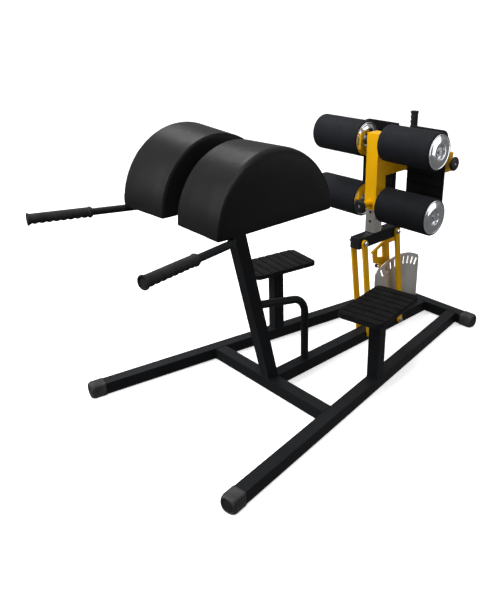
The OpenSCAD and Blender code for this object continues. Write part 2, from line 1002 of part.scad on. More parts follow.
module footplate_arm() {
    color(yellow_paint)
        difference() {
            translate([0, arm_start, arm_mid])
                square_tube(arm_w, arm_h, arm_end - arm_start, wall);
            for (k = [-2:2])
                rod_x(arm_w / 2 - 10, foot_pin_y + k * foot_pitch, foot_pin_z, foot_pin_r + 0.4, 20);
        }
}

module arm_plug() {
    color(plastic)
        translate([0, arm_end + 4, arm_mid])
            mirror([0, 1, 0])
                tube_plug(arm_w, arm_h, wall, 4, 14);
}

// Stub axles welded to the sleeve's sides
module roller_axles() {
    axle_end = roller_x + roller_l - 5;
    color(steel)
        both_sides()
            for (z = [roller_top_z, roller_low_z])
                difference() {
                    union() {
                        rod_x(sleeve_w / 2, roller_y, z, roller_bore, axle_end - sleeve_w / 2);
                        rod_x(sleeve_w / 2, roller_y, z, roller_bore + 5, roller_x - 2 - sleeve_w / 2);
                    }
                    rod_x(axle_end - 30, roller_y, z, 5 + fit, 40);
                }
}

module axle_bolts() {
    axle_end = roller_x + roller_l - 5;
    color(steel)
        both_sides()
            for (z = [roller_top_z, roller_low_z]) {
                rod_x(axle_end - 26, roller_y, z, 5, 28);
                rod_x(axle_end, roller_y, z, 18, 2);
                hex_x(axle_end + 2, roller_y, z, 9, 6);
            }
}

// One roller on the right side, drawn along +Z from its inner end
// Section of the hub: a core tube with a thin domed cap at each end, sunk round the axle
function cap_face(l) = [
    [roller_bore + fit, l - 5.5], [25, l - 5.5], [29, l + 3], [35, l + 5.5], [49, l + 4], [60, l + 0.4],
    [66, l - 0.2], [70, l - 1.6], [70, l - 2.6], [58, l - 2.6], [48, l + 2], [36, l + 3.3], [31, l + 1],
    [26.5, l - 6.9], [16, l - 6.9]
];

module roller_hub_shape() {
    top = cap_face(roller_l);
    n = len(top);
    rotate_extrude()
        polygon(concat(top, [for (i = [1:n]) [top[n - i][0], roller_l - top[n - i][1]]]));
}

module roller_foam_shape() {
    r = roller_r;
    e = 5;
    half = [
        [16 + fit, roller_l - 10], [36, roller_l - 10], [36, roller_l - 2.9], [70.3, roller_l - 2.9],
        [70.3, roller_l - 1], [r - e, roller_l - 1]
    ];
    arc = [for (i = [1:5]) [r - e + e * sin(i * 18), roller_l - 1 - e + e * cos(i * 18)]];
    top = concat(half, arc);
    n = len(top);
    rotate_extrude($fn = 96)
        polygon(concat(top, [for (i = [1:n]) [top[n - i][0], roller_l - top[n - i][1]]]));
}

// Places a roller's child at height z; side is 1 for the right and -1 for the left
module on_axle(side, z) {
    mirror([side < 0 ? 1 : 0, 0, 0])
        translate([roller_x, roller_y, z])
            rotate([0, 90, 0])
                children();
}

module roller_foam(side, z) {
    color(rubber)
        on_axle(side, z)
            roller_foam_shape();
}

module roller_hub(side, z) {
    color(chrome)
        on_axle(side, z)
            roller_hub_shape();
}

module height_pin_barrel() {
    color(yellow_paint)
        difference() {
            rod_y(0, sleeve_front - 41, height_pin_z, 14, 41);
            rod_y(0, sleeve_front - 60, height_pin_z, height_pin_r + fit, 80);
        }
}

module height_pin() {
    tip = post_y - tube / 2 - 0.6;
    start = sleeve_front - 41 - pin_travel - gap - 19;
    color(steel)
        rod_y(0, start, height_pin_z, height_pin_r, tip - start);
}

module height_knob() {
    color(plastic)
        translate([0, sleeve_front - 41 - pin_travel - gap, height_pin_z])
            rotate([90, 0, 0])
                knob(knob_r, height_pin_r);
}

// Footplate slider

module foot_slider() {
    inner_w = arm_w + 2 * 0.6;
    inner_h = arm_h + 2 * 0.6;
    color(yellow_paint)
        difference() {
            union() {
                translate([-slider_w / 2, slider_y, arm_mid - slider_h / 2])
                    cube([slider_w, slider_l, slider_h]);
                both_sides()
                    translate([slider_w / 2, slider_y, cross_z - cross_h / 2])
                        cube([cross_l, cross_d, cross_h]);
                translate([0, slider_y + 61, arm_mid + slider_h / 2 - over])
                    cylinder(r = 11, h = 150);
            }
            translate([-inner_w / 2, slider_y - over, arm_mid - inner_h / 2])
                cube([inner_w, slider_l + 2 * over, inner_h]);
            both_sides()
                translate([slider_w / 2, slider_y + wall, cross_z - cross_h / 2 + wall])
                    cube([cross_l + over, cross_d - 2 * wall, cross_h - 2 * wall]);
            rod_x(0, foot_pin_y, foot_pin_z, foot_pin_r + fit, slider_w);
        }
}

module cross_tube_plugs() {
    color(yellow_paint) {
        translate([-slider_w / 2 - cross_l - 4, foot_pin_y, cross_z])
            rotate([0, 0, -90])
                tube_plug(cross_d, cross_h, wall, 4, 14);
        difference() {
            translate([slider_w / 2 + cross_l + 4, foot_pin_y, cross_z])
                rotate([0, 0, 90])
                    tube_plug(cross_d, cross_h, wall, 4, 14);
            rod_x(slider_w / 2, foot_pin_y, foot_pin_z, foot_pin_r + fit, cross_l + 20);
        }
    }
}

// One footplate's outline in X and Z, with its outer corners rounded
module foot_outline(grow) {
    translate([foot_x - grow, foot_z - grow])
        square([foot_w + 2 * grow - foot_corner, foot_h + 2 * grow]);
    translate([foot_x - grow, foot_z - grow + foot_corner])
        square([foot_w + 2 * grow, foot_h + 2 * grow - 2 * foot_corner]);
    for (z = [foot_z - grow + foot_corner, foot_z + foot_h + grow - foot_corner])
        translate([foot_x + foot_w + grow - foot_corner, z])
            circle(r = foot_corner);
}

module footplates() {
    color(black_paint)
        both_sides()
            translate([0, foot_y + foot_tread_t + foot_plate_t, 0])
                rotate([90, 0, 0])
                    linear_extrude(height = foot_plate_t)
                        foot_outline(0);
}

module foot_treads() {
    base_t = foot_tread_t / 2;
    rows = floor((foot_h - rib_w) / rib_pitch) + 1;
    first = foot_z + (foot_h - (rows - 1) * rib_pitch - rib_w) / 2;
    color(rubber)
        both_sides()
            translate([0, foot_y + foot_tread_t, 0]) {
                rotate([90, 0, 0])
                    linear_extrude(height = base_t)
                        foot_outline(0);
                for (i = [0:rows - 1])
                    translate([foot_x + 8, -foot_tread_t, first + i * rib_pitch])
                        cube([foot_w - 16, base_t, rib_w]);
            }
}

module foot_grip() {
    color(rubber)
        translate([0, slider_y + 61, arm_mid + slider_h / 2 + 40])
            rotate_extrude()
                polygon(grip_outline(16, 11 + fit, 113, 18, 10, 1.2));
}

module foot_pin() {
    tip = arm_w / 2 + 0.4;
    start = slider_w / 2 + cross_l + 4 + pin_travel + gap + 19;
    color(steel)
        rod_x(tip, foot_pin_y, foot_pin_z, foot_pin_r, start - tip);
}

module foot_knob() {
    color(plastic)
        translate([slider_w / 2 + cross_l + 4 + pin_travel + gap, foot_pin_y, foot_pin_z])
            rotate([0, 90, 0])
                knob(knob_r, foot_pin_r);
}

rail_left();
rail_right();
front_crossbeam();
centre_beam();
rear_crossbar();
end_caps();
upright();
brace_tube();
pad_crossbar();
pad_rails();
pad_boards();
pad_bolts();
pad_left();
pad_right();
handle_tube_left();
handle_tube_right();
hand_grip_left();
hand_grip_right();
step_posts();
step_plates();
step_treads();
quadrant_plate();
lower_pivot_bolts();
rear_link_left();
rear_link_right();
rear_link_bushes();
swing_handle();
lock_barrel();
lock_pin();
lock_knob();
front_link_bars();
front_link_bushes();
carriage_tube();
carriage_plugs();
height_post();
upper_pivot_bolts();
height_sleeve();
sleeve_liners();
footplate_arm();
arm_plug();
roller_axles();
axle_bolts();
height_pin_barrel();
height_pin();
height_knob();
roller_foam(-1, roller_top_z);  // roller_foam_upper_left
roller_hub(-1, roller_top_z);  // roller_hub_upper_left
roller_foam(1, roller_top_z);  // roller_foam_upper_right
roller_hub(1, roller_top_z);  // roller_hub_upper_right
roller_foam(-1, roller_low_z);  // roller_foam_lower_left
roller_hub(-1, roller_low_z);  // roller_hub_lower_left
roller_foam(1, roller_low_z);  // roller_foam_lower_right
roller_hub(1, roller_low_z);  // roller_hub_lower_right
foot_slider();
footplates();
foot_treads();
foot_grip();
cross_tube_plugs();
foot_pin();
foot_knob();
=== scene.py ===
import json
import math

import bmesh
import bpy
from bpy.props import FloatProperty, FloatVectorProperty, IntProperty, PointerProperty
from mathutils import Matrix, Vector, noise
from mathutils.bvhtree import BVHTree
from mathutils.kdtree import KDTree


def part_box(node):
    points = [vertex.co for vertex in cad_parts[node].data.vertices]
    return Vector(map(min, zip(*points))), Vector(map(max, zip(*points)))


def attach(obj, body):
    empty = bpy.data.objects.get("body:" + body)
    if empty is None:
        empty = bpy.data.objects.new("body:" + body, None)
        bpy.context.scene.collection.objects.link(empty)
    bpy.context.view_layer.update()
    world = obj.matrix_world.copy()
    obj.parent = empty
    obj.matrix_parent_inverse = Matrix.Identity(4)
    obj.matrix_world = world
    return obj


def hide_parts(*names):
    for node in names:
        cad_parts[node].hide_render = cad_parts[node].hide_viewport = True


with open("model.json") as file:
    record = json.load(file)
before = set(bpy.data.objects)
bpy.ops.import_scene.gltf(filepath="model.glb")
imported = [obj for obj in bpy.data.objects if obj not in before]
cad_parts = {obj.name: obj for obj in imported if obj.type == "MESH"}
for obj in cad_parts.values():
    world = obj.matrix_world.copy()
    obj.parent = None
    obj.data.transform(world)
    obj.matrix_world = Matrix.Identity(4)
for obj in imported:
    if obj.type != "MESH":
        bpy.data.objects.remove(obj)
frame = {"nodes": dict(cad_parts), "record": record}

bl_info = {
    "name": "Glute ham developer",
    "version": (1, 0, 0),
    "blender": (4, 5, 0),
    "location": "3D View > Sidebar > Glute ham developer",
    "description": "Dresses the packed bench: paint, pads, foam rollers, grips, knobs, welds and a studio",
    "category": "Object",
}

MM = 0.001
X, Y, Z = Vector((1, 0, 0)), Vector((0, 1, 0)), Vector((0, 0, 1))
MIRROR = Matrix.Scale(-1, 4, (1, 0, 0))
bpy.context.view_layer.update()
SIDES = {"right": 1, "left": -1}
LEVELS = ("upper", "lower")


# Sizes and colours that a user would change

def colour_setting(name, description, default):
    return FloatVectorProperty(
        name=name, description=description, subtype="COLOR", size=3, min=0, max=1, default=default)


def length_setting(name, description, default, **limits):
    return FloatProperty(name=name, description=description, unit="LENGTH", default=default, **limits)


def pair_setting(name, description, default):
    return FloatVectorProperty(name=name, description=description, unit="LENGTH", size=2, default=default)


def angle_setting(name, description, degrees):
    return FloatProperty(name=name, description=description, unit="ROTATION", default=math.radians(degrees))


def count_setting(name, description, default, least, most):
    return IntProperty(name=name, description=description, min=least, max=most, default=default)


def power_setting(name, description, watts):
    return FloatProperty(name=name, description=description, unit="POWER", default=watts)


class BenchFrameSettings(bpy.types.PropertyGroup):
    """The painted frame"""

    black: colour_setting("Black paint", "Powder coat on the frame", (0.0085, 0.0091, 0.0100))
    yellow: colour_setting("Yellow paint", "Powder coat on the head and the links", (0.80, 0.41, 0.0))
    tube_edge: length_setting(
        "Tube corner", "Corner radius of the square tubes", 3 * MM, min=0.5 * MM, max=5 * MM)
    plate_edge: length_setting(
        "Plate edge", "Radius on the edges of bars, plates and bolts", 0.8 * MM, min=0.1 * MM, max=2 * MM)
    bead: length_setting("Weld bead", "Radius of a weld bead", 2.4 * MM, min=1 * MM, max=5 * MM)
    rail_front: pair_setting(
        "Rail front", "Right rail's centre at its front end, in X and Y", (0.439, -0.735))
    rail_rear: pair_setting(
        "Rail rear", "Right rail's centre where it meets the rear crossbar", (0.180, 0.858))
    upright_lean: angle_setting("Upright lean", "Forward lean of the upright", 12.7)
    cap_grooves: count_setting("Cap grooves", "Grooves round each rubber end cap", 3, 0, 5)


class BenchPadSettings(bpy.types.PropertyGroup):
    """The two half-round thigh pads"""

    vinyl: colour_setting("Cover", "Colour of the pads' cover", (0.0085, 0.0085, 0.0088))
    inner_radius: length_setting("Inner radius", "Radius at the inner side", 0.238)
    outer_radius: pair_setting(
        "Outer radius", "Radius at the outer side, on the right pad and the left", (0.2445, 0.251))
    crown_rise: pair_setting(
        "Crown rise", "How much higher than half-round the crown is, right and left", (0.003, 0.011))
    inner_edge: length_setting("Inner edge", "Rolled edge at the inner side", 0.005)
    outer_edge_top: pair_setting(
        "Outer edge on top", "Rolled outer edge over the crown, on the right and the left", (0.030, 0.012))
    outer_edge_foot: length_setting(
        "Outer edge at the foot", "Rolled outer edge at the front and rear foot", 0.004)
    corner: length_setting("Corner", "Radius of the lower front and rear corners", 0.0035)
    skirt: length_setting("Skirt", "How far the cover hangs below the board's underside", 0.004)
    undersize: length_setting("Undersize", "How much smaller the pad starts before it swells", 0.0012)
    swell: length_setting("Swell", "How far a point may move while the pad fills", 0.003)
    evening: count_setting(
        "Evening", "How often the swelling is spread to the points beside it", 40, 0, 200)
    voxel: length_setting("Mesh size", "Size of the cloth's cells", 0.005)
    seam_depth: length_setting("Seam depth", "How deep a seam draws the cover in", 1.0 * MM)
    seam_width: length_setting("Seam width", "Width of the groove at a seam", 2.2 * MM)
    pucker: length_setting("Pucker", "Depth of the puckers beside a seam", 0.2 * MM)
    stitch_pitch: length_setting("Stitch pitch", "Distance from one stitch to the next", 0.0075)


class BenchRollerSettings(bpy.types.PropertyGroup):
    """The four foam ankle rollers"""

    foam: colour_setting("Foam", "Colour of the foam", (0.0095, 0.0102, 0.0122))
    edge: length_setting("Edge", "Rounding of the foam's ends", 0.006)
    wave: length_setting("Unevenness", "How uneven the foam's surface is", 0.0004)
    dome: length_setting("Hub dome", "Rise of the chrome cap over the foam's end", 0.0055)
    hub_bore: length_setting("Hub bore", "Radius of the hole that turns on the axle", 0.01255)


class BenchHandleSettings(bpy.types.PropertyGroup):
    """The bent handle tubes, the grips and the pull knobs"""

    rubber: colour_setting("Rubber", "Colour of grips, treads and end caps", (0.016, 0.016, 0.0165))
    corner: pair_setting(
        "Corner", "Where the tube's two straight runs meet, from the pads' centre", (0.2644, 0.1941))
    splay: angle_setting("Splay", "Outward splay of the outer run", 14.2)
    root_splay: angle_setting("Root splay", "Splay of the root under the pad", 50.9)
    rise: angle_setting("Rise", "Upward tilt of the tubes", 2.2)
    bend: length_setting("Bend", "Bend radius on the centre line", 0.060)
    tube_radius: length_setting("Tube radius", "Radius of the tube", 0.0125)
    grip_radius: length_setting("Grip radius", "Radius of the rubber grip over its ribs", 0.0182)
    grip_length: length_setting("Grip length", "Length of a hand grip", 0.212)
    grip_flange: length_setting(
        "Grip flange", "How far the flange at a grip's tip stands out", 0.0032)
    finger_ribs: count_setting("Finger ribs", "Finger ribs under a hand grip", 8, 2, 16)
    flutes: count_setting("Knob flutes", "Flutes round a pull knob", 18, 6, 30)


class BenchStageSettings(bpy.types.PropertyGroup):
    """Camera, floor and light"""

    camera_at: FloatVectorProperty(
        name="Camera place", description="Where the camera stands",
        unit="LENGTH", size=3, default=(1.7180, -1.6759, 1.4840))
    azimuth: angle_setting("Azimuth", "Heading of the camera from +Y towards -X", 47.289)
    pitch: angle_setting("Pitch", "How far the camera looks down", 22.830)
    roll: angle_setting("Roll", "Roll of the camera", -0.534)
    lens: FloatProperty(
        name="Lens", description="Focal length on a 36 mm sensor", subtype="DISTANCE_CAMERA",
        default=39.146)
    shift: FloatVectorProperty(
        name="Shift", description="Shift that frames the bench", size=2, default=(-0.0549, -0.0515))
    floor: colour_setting("Floor", "Colour of the floor", (0.93, 0.93, 0.93))
    floor_glow: FloatProperty(
        name="Floor glow", description="Light of the floor's own, so that it is white up to its far edge",
        min=0, default=0.5)
    sky: FloatProperty(
        name="Sky light", description="Strength of the light from above", min=0, default=1.0)
    key: power_setting("Key light", "Power of the soft light at the front left", 140)
    left: power_setting("Left light", "Power of the soft light at the left", 58)
    rear: power_setting("Rear light", "Power of the soft light behind on the right", 16)
    top: power_setting("Top light", "Power of the soft light overhead", 50)


SETTINGS = {
    "bench_frame": BenchFrameSettings,
    "bench_pads": BenchPadSettings,
    "bench_rollers": BenchRollerSettings,
    "bench_handles": BenchHandleSettings,
    "bench_stage": BenchStageSettings,
}


# Mesh tools

def loft(rings, ends=True, round_trip=False):
    """A skin over rings of points, all of one length, with flat ends or closed on itself."""
    bm = bmesh.new()
    loops = [[bm.verts.new(p) for p in ring] for ring in rings]
    count = len(loops[0])
    following = loops[1:] + loops[:1] if round_trip else loops[1:]
    for a, b in zip(loops, following):
        for i in range(count):
            j = (i + 1) % count
            bm.faces.new((a[i], a[j], b[j], b[i]))
    if ends and not round_trip:
        bm.faces.new(loops[0])
        bm.faces.new(loops[-1])
    bmesh.ops.recalc_face_normals(bm, faces=bm.faces)
    return bm


def circle(radius, along, steps):
    """A ring of points about Z at a height; radius is a number or a function of the angle."""
    points = []
    for i in range(steps):
        a = 2 * math.pi * i / steps
        r = radius(a) if callable(radius) else radius
        points.append(Vector((r * math.cos(a), r * math.sin(a), along)))
    return points


def lathe(profile, steps):
    """A turned body about Z from (radius, height) points; it ends on the axis or closes on itself."""
    near_axis, least = 1 * MM, 0.05 * MM
    solid = profile[0][0] < near_axis or profile[-1][0] < near_axis
    rings = [circle(max(r, least), h, steps) for r, h in profile]
    return loft(rings, ends=solid, round_trip=not solid)


def rounded_rectangle(half_u, half_v, corner, steps):
    """Places round a rectangle with round corners, in its own plane."""
    points = []
    for k, (su, sv) in enumerate(((1, 1), (-1, 1), (-1, -1), (1, -1))):
        for i in range(steps + 1):
            a = math.pi / 2 * (k + i / steps)
            points.append((su * (half_u - corner) + corner * math.cos(a),
                           sv * (half_v - corner) + corner * math.sin(a)))
    return points


def along_path(points, closed):
    """Each point with a frame of two directions across the path, turned as little as possible."""
    count = len(points)
    frames = []
    across = None
    for i, p in enumerate(points):
        after = points[(i + 1) % count] if closed or i + 1 < count else p
        before = points[i - 1] if closed or i > 0 else p
        ahead = (after - before).normalized()
        if across is None:
            across = ahead.orthogonal().normalized()
        across = (across - ahead * across.dot(ahead)).normalized()
        frames.append((p, across, ahead.cross(across)))
    return frames


def sweep(points, radius, steps, closed=False):
    """A round bar along a path; radius is a number or a function of the point's index."""
    rings = []
    for i, (p, u, v) in enumerate(along_path(points, closed)):
        r = radius(i) if callable(radius) else radius
        rings.append([p + r * (u * math.cos(a) + v * math.sin(a))
                      for a in (2 * math.pi * k / steps for k in range(steps))])
    return loft(rings, ends=not closed, round_trip=closed)


def resample(points, spacing, closed):
    """The same path with points a set distance apart."""
    hair = 1e-9
    corners = points + points[:1] if closed else points
    lengths = [(b - a).length for a, b in zip(corners, corners[1:])]
    total = sum(lengths)
    count = max(4, round(total / spacing))
    result = []
    run, k = 0.0, 0
    for i in range(count if closed else count + 1):
        s = min(total * i / count, total - hair)
        while run + lengths[k] < s:
            run += lengths[k]
            k += 1
        result.append(corners[k].lerp(corners[k + 1], (s - run) / lengths[k]))
    return result


def join(target, source):
    """Adds one mesh under construction to another and frees it."""
    spare = bpy.data.meshes.new("spare")
    source.to_mesh(spare)
    source.free()
    target.from_mesh(spare)
    bpy.data.meshes.remove(spare)


def moved_to(bm, place):
    """The mesh under construction at a placement, turned right side out where that mirrors it."""
    bmesh.ops.transform(bm, matrix=place, verts=bm.verts)
    if place.determinant() < 0:
        bmesh.ops.reverse_faces(bm, faces=bm.faces)
    return bm


def look_along(origin, direction):
    """A placement whose +Z runs along a direction, with +X as near level as can be."""
    z = direction.normalized()
    x = Z.cross(z)
    x = x.normalized() if x.length > 0.01 else X
    turn = Matrix((x, z.cross(x), z)).transposed().to_4x4()
    return Matrix.Translation(origin) @ turn


def middle_of(node):
    """The middle of a node's box."""
    low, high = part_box(node)
    return (low + high) / 2


def half_of(node):
    """Half the size of a node's box."""
    low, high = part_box(node)
    return (high - low) / 2


def object_from(name, bm, material):
    """Makes a mesh under construction into an object of the scene."""
    mesh = bpy.data.meshes.new(name)
    bm.to_mesh(mesh)
    bm.free()
    if material:
        mesh.materials.append(material)
    made = bpy.data.objects.new(name, mesh)
    bpy.context.scene.collection.objects.link(made)
    return made


def piece_from(name, bm, body, slot, stands_for=(), sharp=40, finish=None):
    """Makes a piece that rides on a body, smooth but for the edges sharper than an angle in degrees."""
    piece = object_from(name, bm, finish or finish_of(slot))
    piece.data.polygons.foreach_set("use_smooth", [True] * len(piece.data.polygons))
    piece.data.set_sharp_from_angle(angle=math.radians(sharp))
    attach(piece, body)
    if stands_for:
        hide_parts(*stands_for)
    return piece


def dress(node, finish, edge, segments):
    """Gives a carried CAD node its finish and softly rounded edges."""
    part = frame["nodes"][node]
    part.data.materials.clear()
    part.data.materials.append(finish)
    custom = part.data.attributes.get("custom_normal")
    if custom:
        part.data.attributes.remove(custom)
    part.data.polygons.foreach_set("material_index", [0] * len(part.data.polygons))
    part.data.polygons.foreach_set("use_smooth", [True] * len(part.data.polygons))
    weld = part.modifiers.new("Join faces", "WELD")
    weld.merge_threshold = 0.01 * MM
    flat = part.modifiers.new("Flat faces", "DECIMATE")
    flat.decimate_type = "DISSOLVE"
    flat.angle_limit = math.radians(0.8)
    bevel = part.modifiers.new("Soft edges", "BEVEL")
    bevel.width = edge
    bevel.segments = segments
    bevel.limit_method = "ANGLE"
    bevel.angle_limit = math.radians(30)
    bevel.harden_normals = True


# Finishes

class Finish:
    """A material under construction, with its grain laid out in metres."""

    def __init__(self, name, colour, roughness, metallic=0.0, **sockets):
        self.material = bpy.data.materials.new(name)
        self.material.use_nodes = True
        self.material.diffuse_color = (*colour, 1)
        self.tree = self.material.node_tree
        self.shader = self.tree.nodes["Principled BSDF"]
        self.shader.inputs["Base Color"].default_value = (*colour, 1)
        self.shader.inputs["Roughness"].default_value = roughness
        self.shader.inputs["Metallic"].default_value = metallic
        for socket, value in sockets.items():
            self.shader.inputs[socket.replace("_", " ")].default_value = value
        self.colour = colour
        self.roughness = roughness
        self.places = self.node("ShaderNodeTexCoord").outputs["Object"]
        self.normal = None

    def node(self, kind, **values):
        made = self.tree.nodes.new(kind)
        for name, value in values.items():
            setattr(made, name, value)
        return made

    def stretched(self, scale):
        """The places, scaled apart along X, Y and Z."""
        mapping = self.node("ShaderNodeMapping")
        mapping.inputs["Scale"].default_value = scale
        self.tree.links.new(self.places, mapping.inputs["Vector"])
        return mapping.outputs["Vector"]

    def noise(self, lumps, detail, roughness=0.55, stretch=None):
        """Soft grain with so many lumps to the metre, drawn out along an axis that has a stretch below 1."""
        made = self.node("ShaderNodeTexNoise")
        made.inputs["Scale"].default_value = lumps
        made.inputs["Detail"].default_value = detail
        made.inputs["Roughness"].default_value = roughness
        self.tree.links.new(self.stretched(stretch) if stretch else self.places, made.inputs["Vector"])
        return made.outputs["Fac"]

    def cells(self, count):
        """Grain of round cells, so many to the metre."""
        made = self.node("ShaderNodeTexVoronoi")
        made.inputs["Scale"].default_value = count
        self.tree.links.new(self.places, made.inputs["Vector"])
        return made.outputs["Distance"]

    def between(self, factor, low, high, start, end):
        """A factor moved from one range of numbers to another, held at both ends."""
        made = self.node("ShaderNodeMapRange")
        made.inputs["From Min"].default_value = start
        made.inputs["From Max"].default_value = end
        made.inputs["To Min"].default_value = low
        made.inputs["To Max"].default_value = high
        self.tree.links.new(factor, made.inputs["Value"])
        return made.outputs["Result"]

    def vary_roughness(self, factor, spread):
        """Moves the roughness by up to a spread either way."""
        value = self.between(factor, self.roughness - spread, self.roughness + spread, 0.3, 0.7)
        self.tree.links.new(value, self.shader.inputs["Roughness"])

    def tint(self, factor, colour, start, end):
        """Mixes another colour in, from none at one value of the factor to all of it at another."""
        mix = self.node("ShaderNodeMix", data_type="RGBA")
        base = self.shader.inputs["Base Color"]
        if base.is_linked:
            self.tree.links.new(base.links[0].from_socket, mix.inputs["A"])
        else:
            mix.inputs["A"].default_value = (*self.colour, 1)
        mix.inputs["B"].default_value = (*colour, 1)
        self.tree.links.new(self.between(factor, 0.0, 1.0, start, end), mix.inputs["Factor"])
        self.tree.links.new(mix.outputs["Result"], base)

    def bump(self, height, depth, strength):
        """Raises the surface by a height of 0 to 1 times a depth, on top of the bumps that it has."""
        made = self.node("ShaderNodeBump")
        made.inputs["Strength"].default_value = strength
        made.inputs["Distance"].default_value = depth
        self.tree.links.new(height, made.inputs["Height"])
        if self.normal:
            self.tree.links.new(self.normal, made.inputs["Normal"])
        self.normal = made.outputs["Normal"]
        self.tree.links.new(self.normal, self.shader.inputs["Normal"])


def scaled(colour, share):
    """A lighter or darker shade of a colour."""
    return tuple(min(1.0, c * share) for c in colour)


def make_black_paint():
    colour = tuple(bpy.context.scene.bench_frame.black)
    paint = Finish("black_powder_coat", colour, 0.44, Specular_IOR_Level=0.09)
    paint.tint(paint.noise(6, 4), scaled(colour, 1.5), 0.35, 0.75)
    paint.tint(paint.noise(55, 6, 0.7, (1, 0.12, 1)), scaled(colour, 3.2), 0.66, 0.8)
    paint.vary_roughness(paint.noise(40, 4), 0.07)
    paint.bump(paint.noise(420, 3), 0.25 * MM, 0.5)
    return paint.material


def make_yellow_paint():
    colour = tuple(bpy.context.scene.bench_frame.yellow)
    paint = Finish("yellow_powder_coat", colour, 0.36, Specular_IOR_Level=0.14, Coat_Weight=0.06,
                   Coat_Roughness=0.2)
    paint.tint(paint.noise(7, 4), scaled(colour, 0.86), 0.35, 0.75)
    paint.tint(paint.noise(60, 6, 0.7, (1, 1, 0.15)), scaled(colour, 0.55), 0.68, 0.82)
    paint.vary_roughness(paint.noise(45, 4), 0.06)
    paint.bump(paint.noise(480, 3), 0.2 * MM, 0.45)
    return paint.material


def make_polished_steel():
    steel = Finish("polished_steel", (0.72, 0.70, 0.64), 0.36, 0.8)
    steel.tint(steel.noise(10, 5, 0.6, (1, 1, 0.4)), (0.42, 0.40, 0.36), 0.42, 0.75)
    steel.vary_roughness(steel.noise(160, 4, 0.6, (1, 0.05, 1)), 0.08)
    steel.bump(steel.noise(500, 2, 0.5, (1, 0.03, 1)), 0.012 * MM, 0.35)
    return steel.material


def make_zinc():
    zinc = Finish("zinc_plating", (0.62, 0.63, 0.64), 0.28, 1.0)
    zinc.tint(zinc.cells(240), (0.52, 0.53, 0.56), 0.2, 0.8)
    zinc.vary_roughness(zinc.noise(220, 3), 0.08)
    zinc.bump(zinc.noise(900, 2), 0.04 * MM, 0.4)
    return zinc.material


def make_chrome():
    chrome = Finish("chrome", (0.80, 0.82, 0.84), 0.10, 1.0)
    chrome.tint(chrome.noise(30, 4), (0.70, 0.71, 0.72), 0.4, 0.7)
    chrome.vary_roughness(chrome.noise(90, 5, 0.65), 0.04)
    chrome.bump(chrome.noise(26, 2), 0.35 * MM, 0.5)
    return chrome.material


def make_rubber(name, share, depth):
    """Rubber in a shade of the grips' colour, with a grain of a depth."""
    colour = scaled(tuple(bpy.context.scene.bench_handles.rubber), share)
    rubber = Finish(name, colour, 0.6, Specular_IOR_Level=0.07)
    rubber.tint(rubber.noise(18, 5), scaled(colour, 1.9), 0.4, 0.75)
    rubber.vary_roughness(rubber.noise(75, 4), 0.08)
    rubber.bump(rubber.noise(650, 4, 0.6), depth, 0.6)
    return rubber.material


def make_vinyl():
    colour = tuple(bpy.context.scene.bench_pads.vinyl)
    vinyl = Finish("pad_vinyl", colour, 0.37, Specular_IOR_Level=0.068)
    vinyl.tint(vinyl.noise(5, 4), scaled(colour, 1.35), 0.35, 0.75)
    vinyl.vary_roughness(vinyl.noise(28, 5), 0.05)
    vinyl.bump(vinyl.cells(850), 0.16 * MM, 0.5)
    vinyl.bump(vinyl.noise(1900, 2), 0.06 * MM, 0.4)
    return vinyl.material


def make_foam():
    colour = tuple(bpy.context.scene.bench_rollers.foam)
    foam = Finish("roller_foam", colour, 0.66, Specular_IOR_Level=0.07, Sheen_Weight=0.01,
                  Sheen_Roughness=0.5)
    foam.tint(foam.noise(9, 4), scaled(colour, 1.35), 0.35, 0.75)
    foam.tint(foam.cells(620), scaled(colour, 0.6), 0.55, 0.95)
    foam.vary_roughness(foam.noise(50, 4), 0.06)
    foam.bump(foam.cells(900), 0.25 * MM, 0.6)
    foam.bump(foam.noise(260, 5, 0.7), 0.2 * MM, 0.5)
    return foam.material


def make_plywood():
    wood = Finish("plywood", (0.42, 0.26, 0.13), 0.6)
    wood.tint(wood.noise(9, 6, 0.6, (14, 1, 1)), (0.25, 0.14, 0.065), 0.35, 0.7)
    wood.tint(wood.noise(160, 3, 0.5, (3, 0.2, 1)), (0.19, 0.10, 0.05), 0.6, 0.85)
    wood.bump(wood.noise(150, 4, 0.6, (6, 0.4, 1)), 0.2 * MM, 0.5)
    return wood.material


def make_bronze():
    bronze = Finish("bronze", (0.47, 0.26, 0.10), 0.3, 1.0)
    bronze.tint(bronze.noise(90, 4), (0.30, 0.16, 0.07), 0.45, 0.8)
    bronze.vary_roughness(bronze.noise(300, 3), 0.08)
    bronze.bump(bronze.noise(900, 2), 0.05 * MM, 0.5)
    return bronze.material


def make_plastic():
    colour = (0.011, 0.011, 0.012)
    plastic = Finish("black_plastic", colour, 0.38, Specular_IOR_Level=0.2)
    plastic.tint(plastic.noise(30, 4), scaled(colour, 1.7), 0.4, 0.75)
    plastic.vary_roughness(plastic.noise(90, 4), 0.07)
    plastic.bump(plastic.cells(1100), 0.08 * MM, 0.4)
    return plastic.material


def make_nylon():
    nylon = Finish("nylon", (0.78, 0.77, 0.70), 0.45)
    nylon.tint(nylon.noise(40, 4), (0.66, 0.64, 0.56), 0.4, 0.75)
    nylon.bump(nylon.noise(600, 3), 0.06 * MM, 0.4)
    return nylon.material


MAKERS = {
    "black_paint": make_black_paint,
    "yellow_paint": make_yellow_paint,
    "polished_steel": make_polished_steel,
    "zinc_steel": make_zinc,
    "chrome": make_chrome,
    "rubber": lambda: make_rubber("tread_rubber", 0.35, 0.3 * MM),
    "grip_rubber": lambda: make_rubber("grip_rubber", 1.0, 0.2 * MM),
    "pad_cover": make_vinyl,
    "roller_foam": make_foam,
    "plywood": make_plywood,
    "bronze": make_bronze,
    "black_plastic": make_plastic,
    "nylon": make_nylon,
}
FINISHES = {}


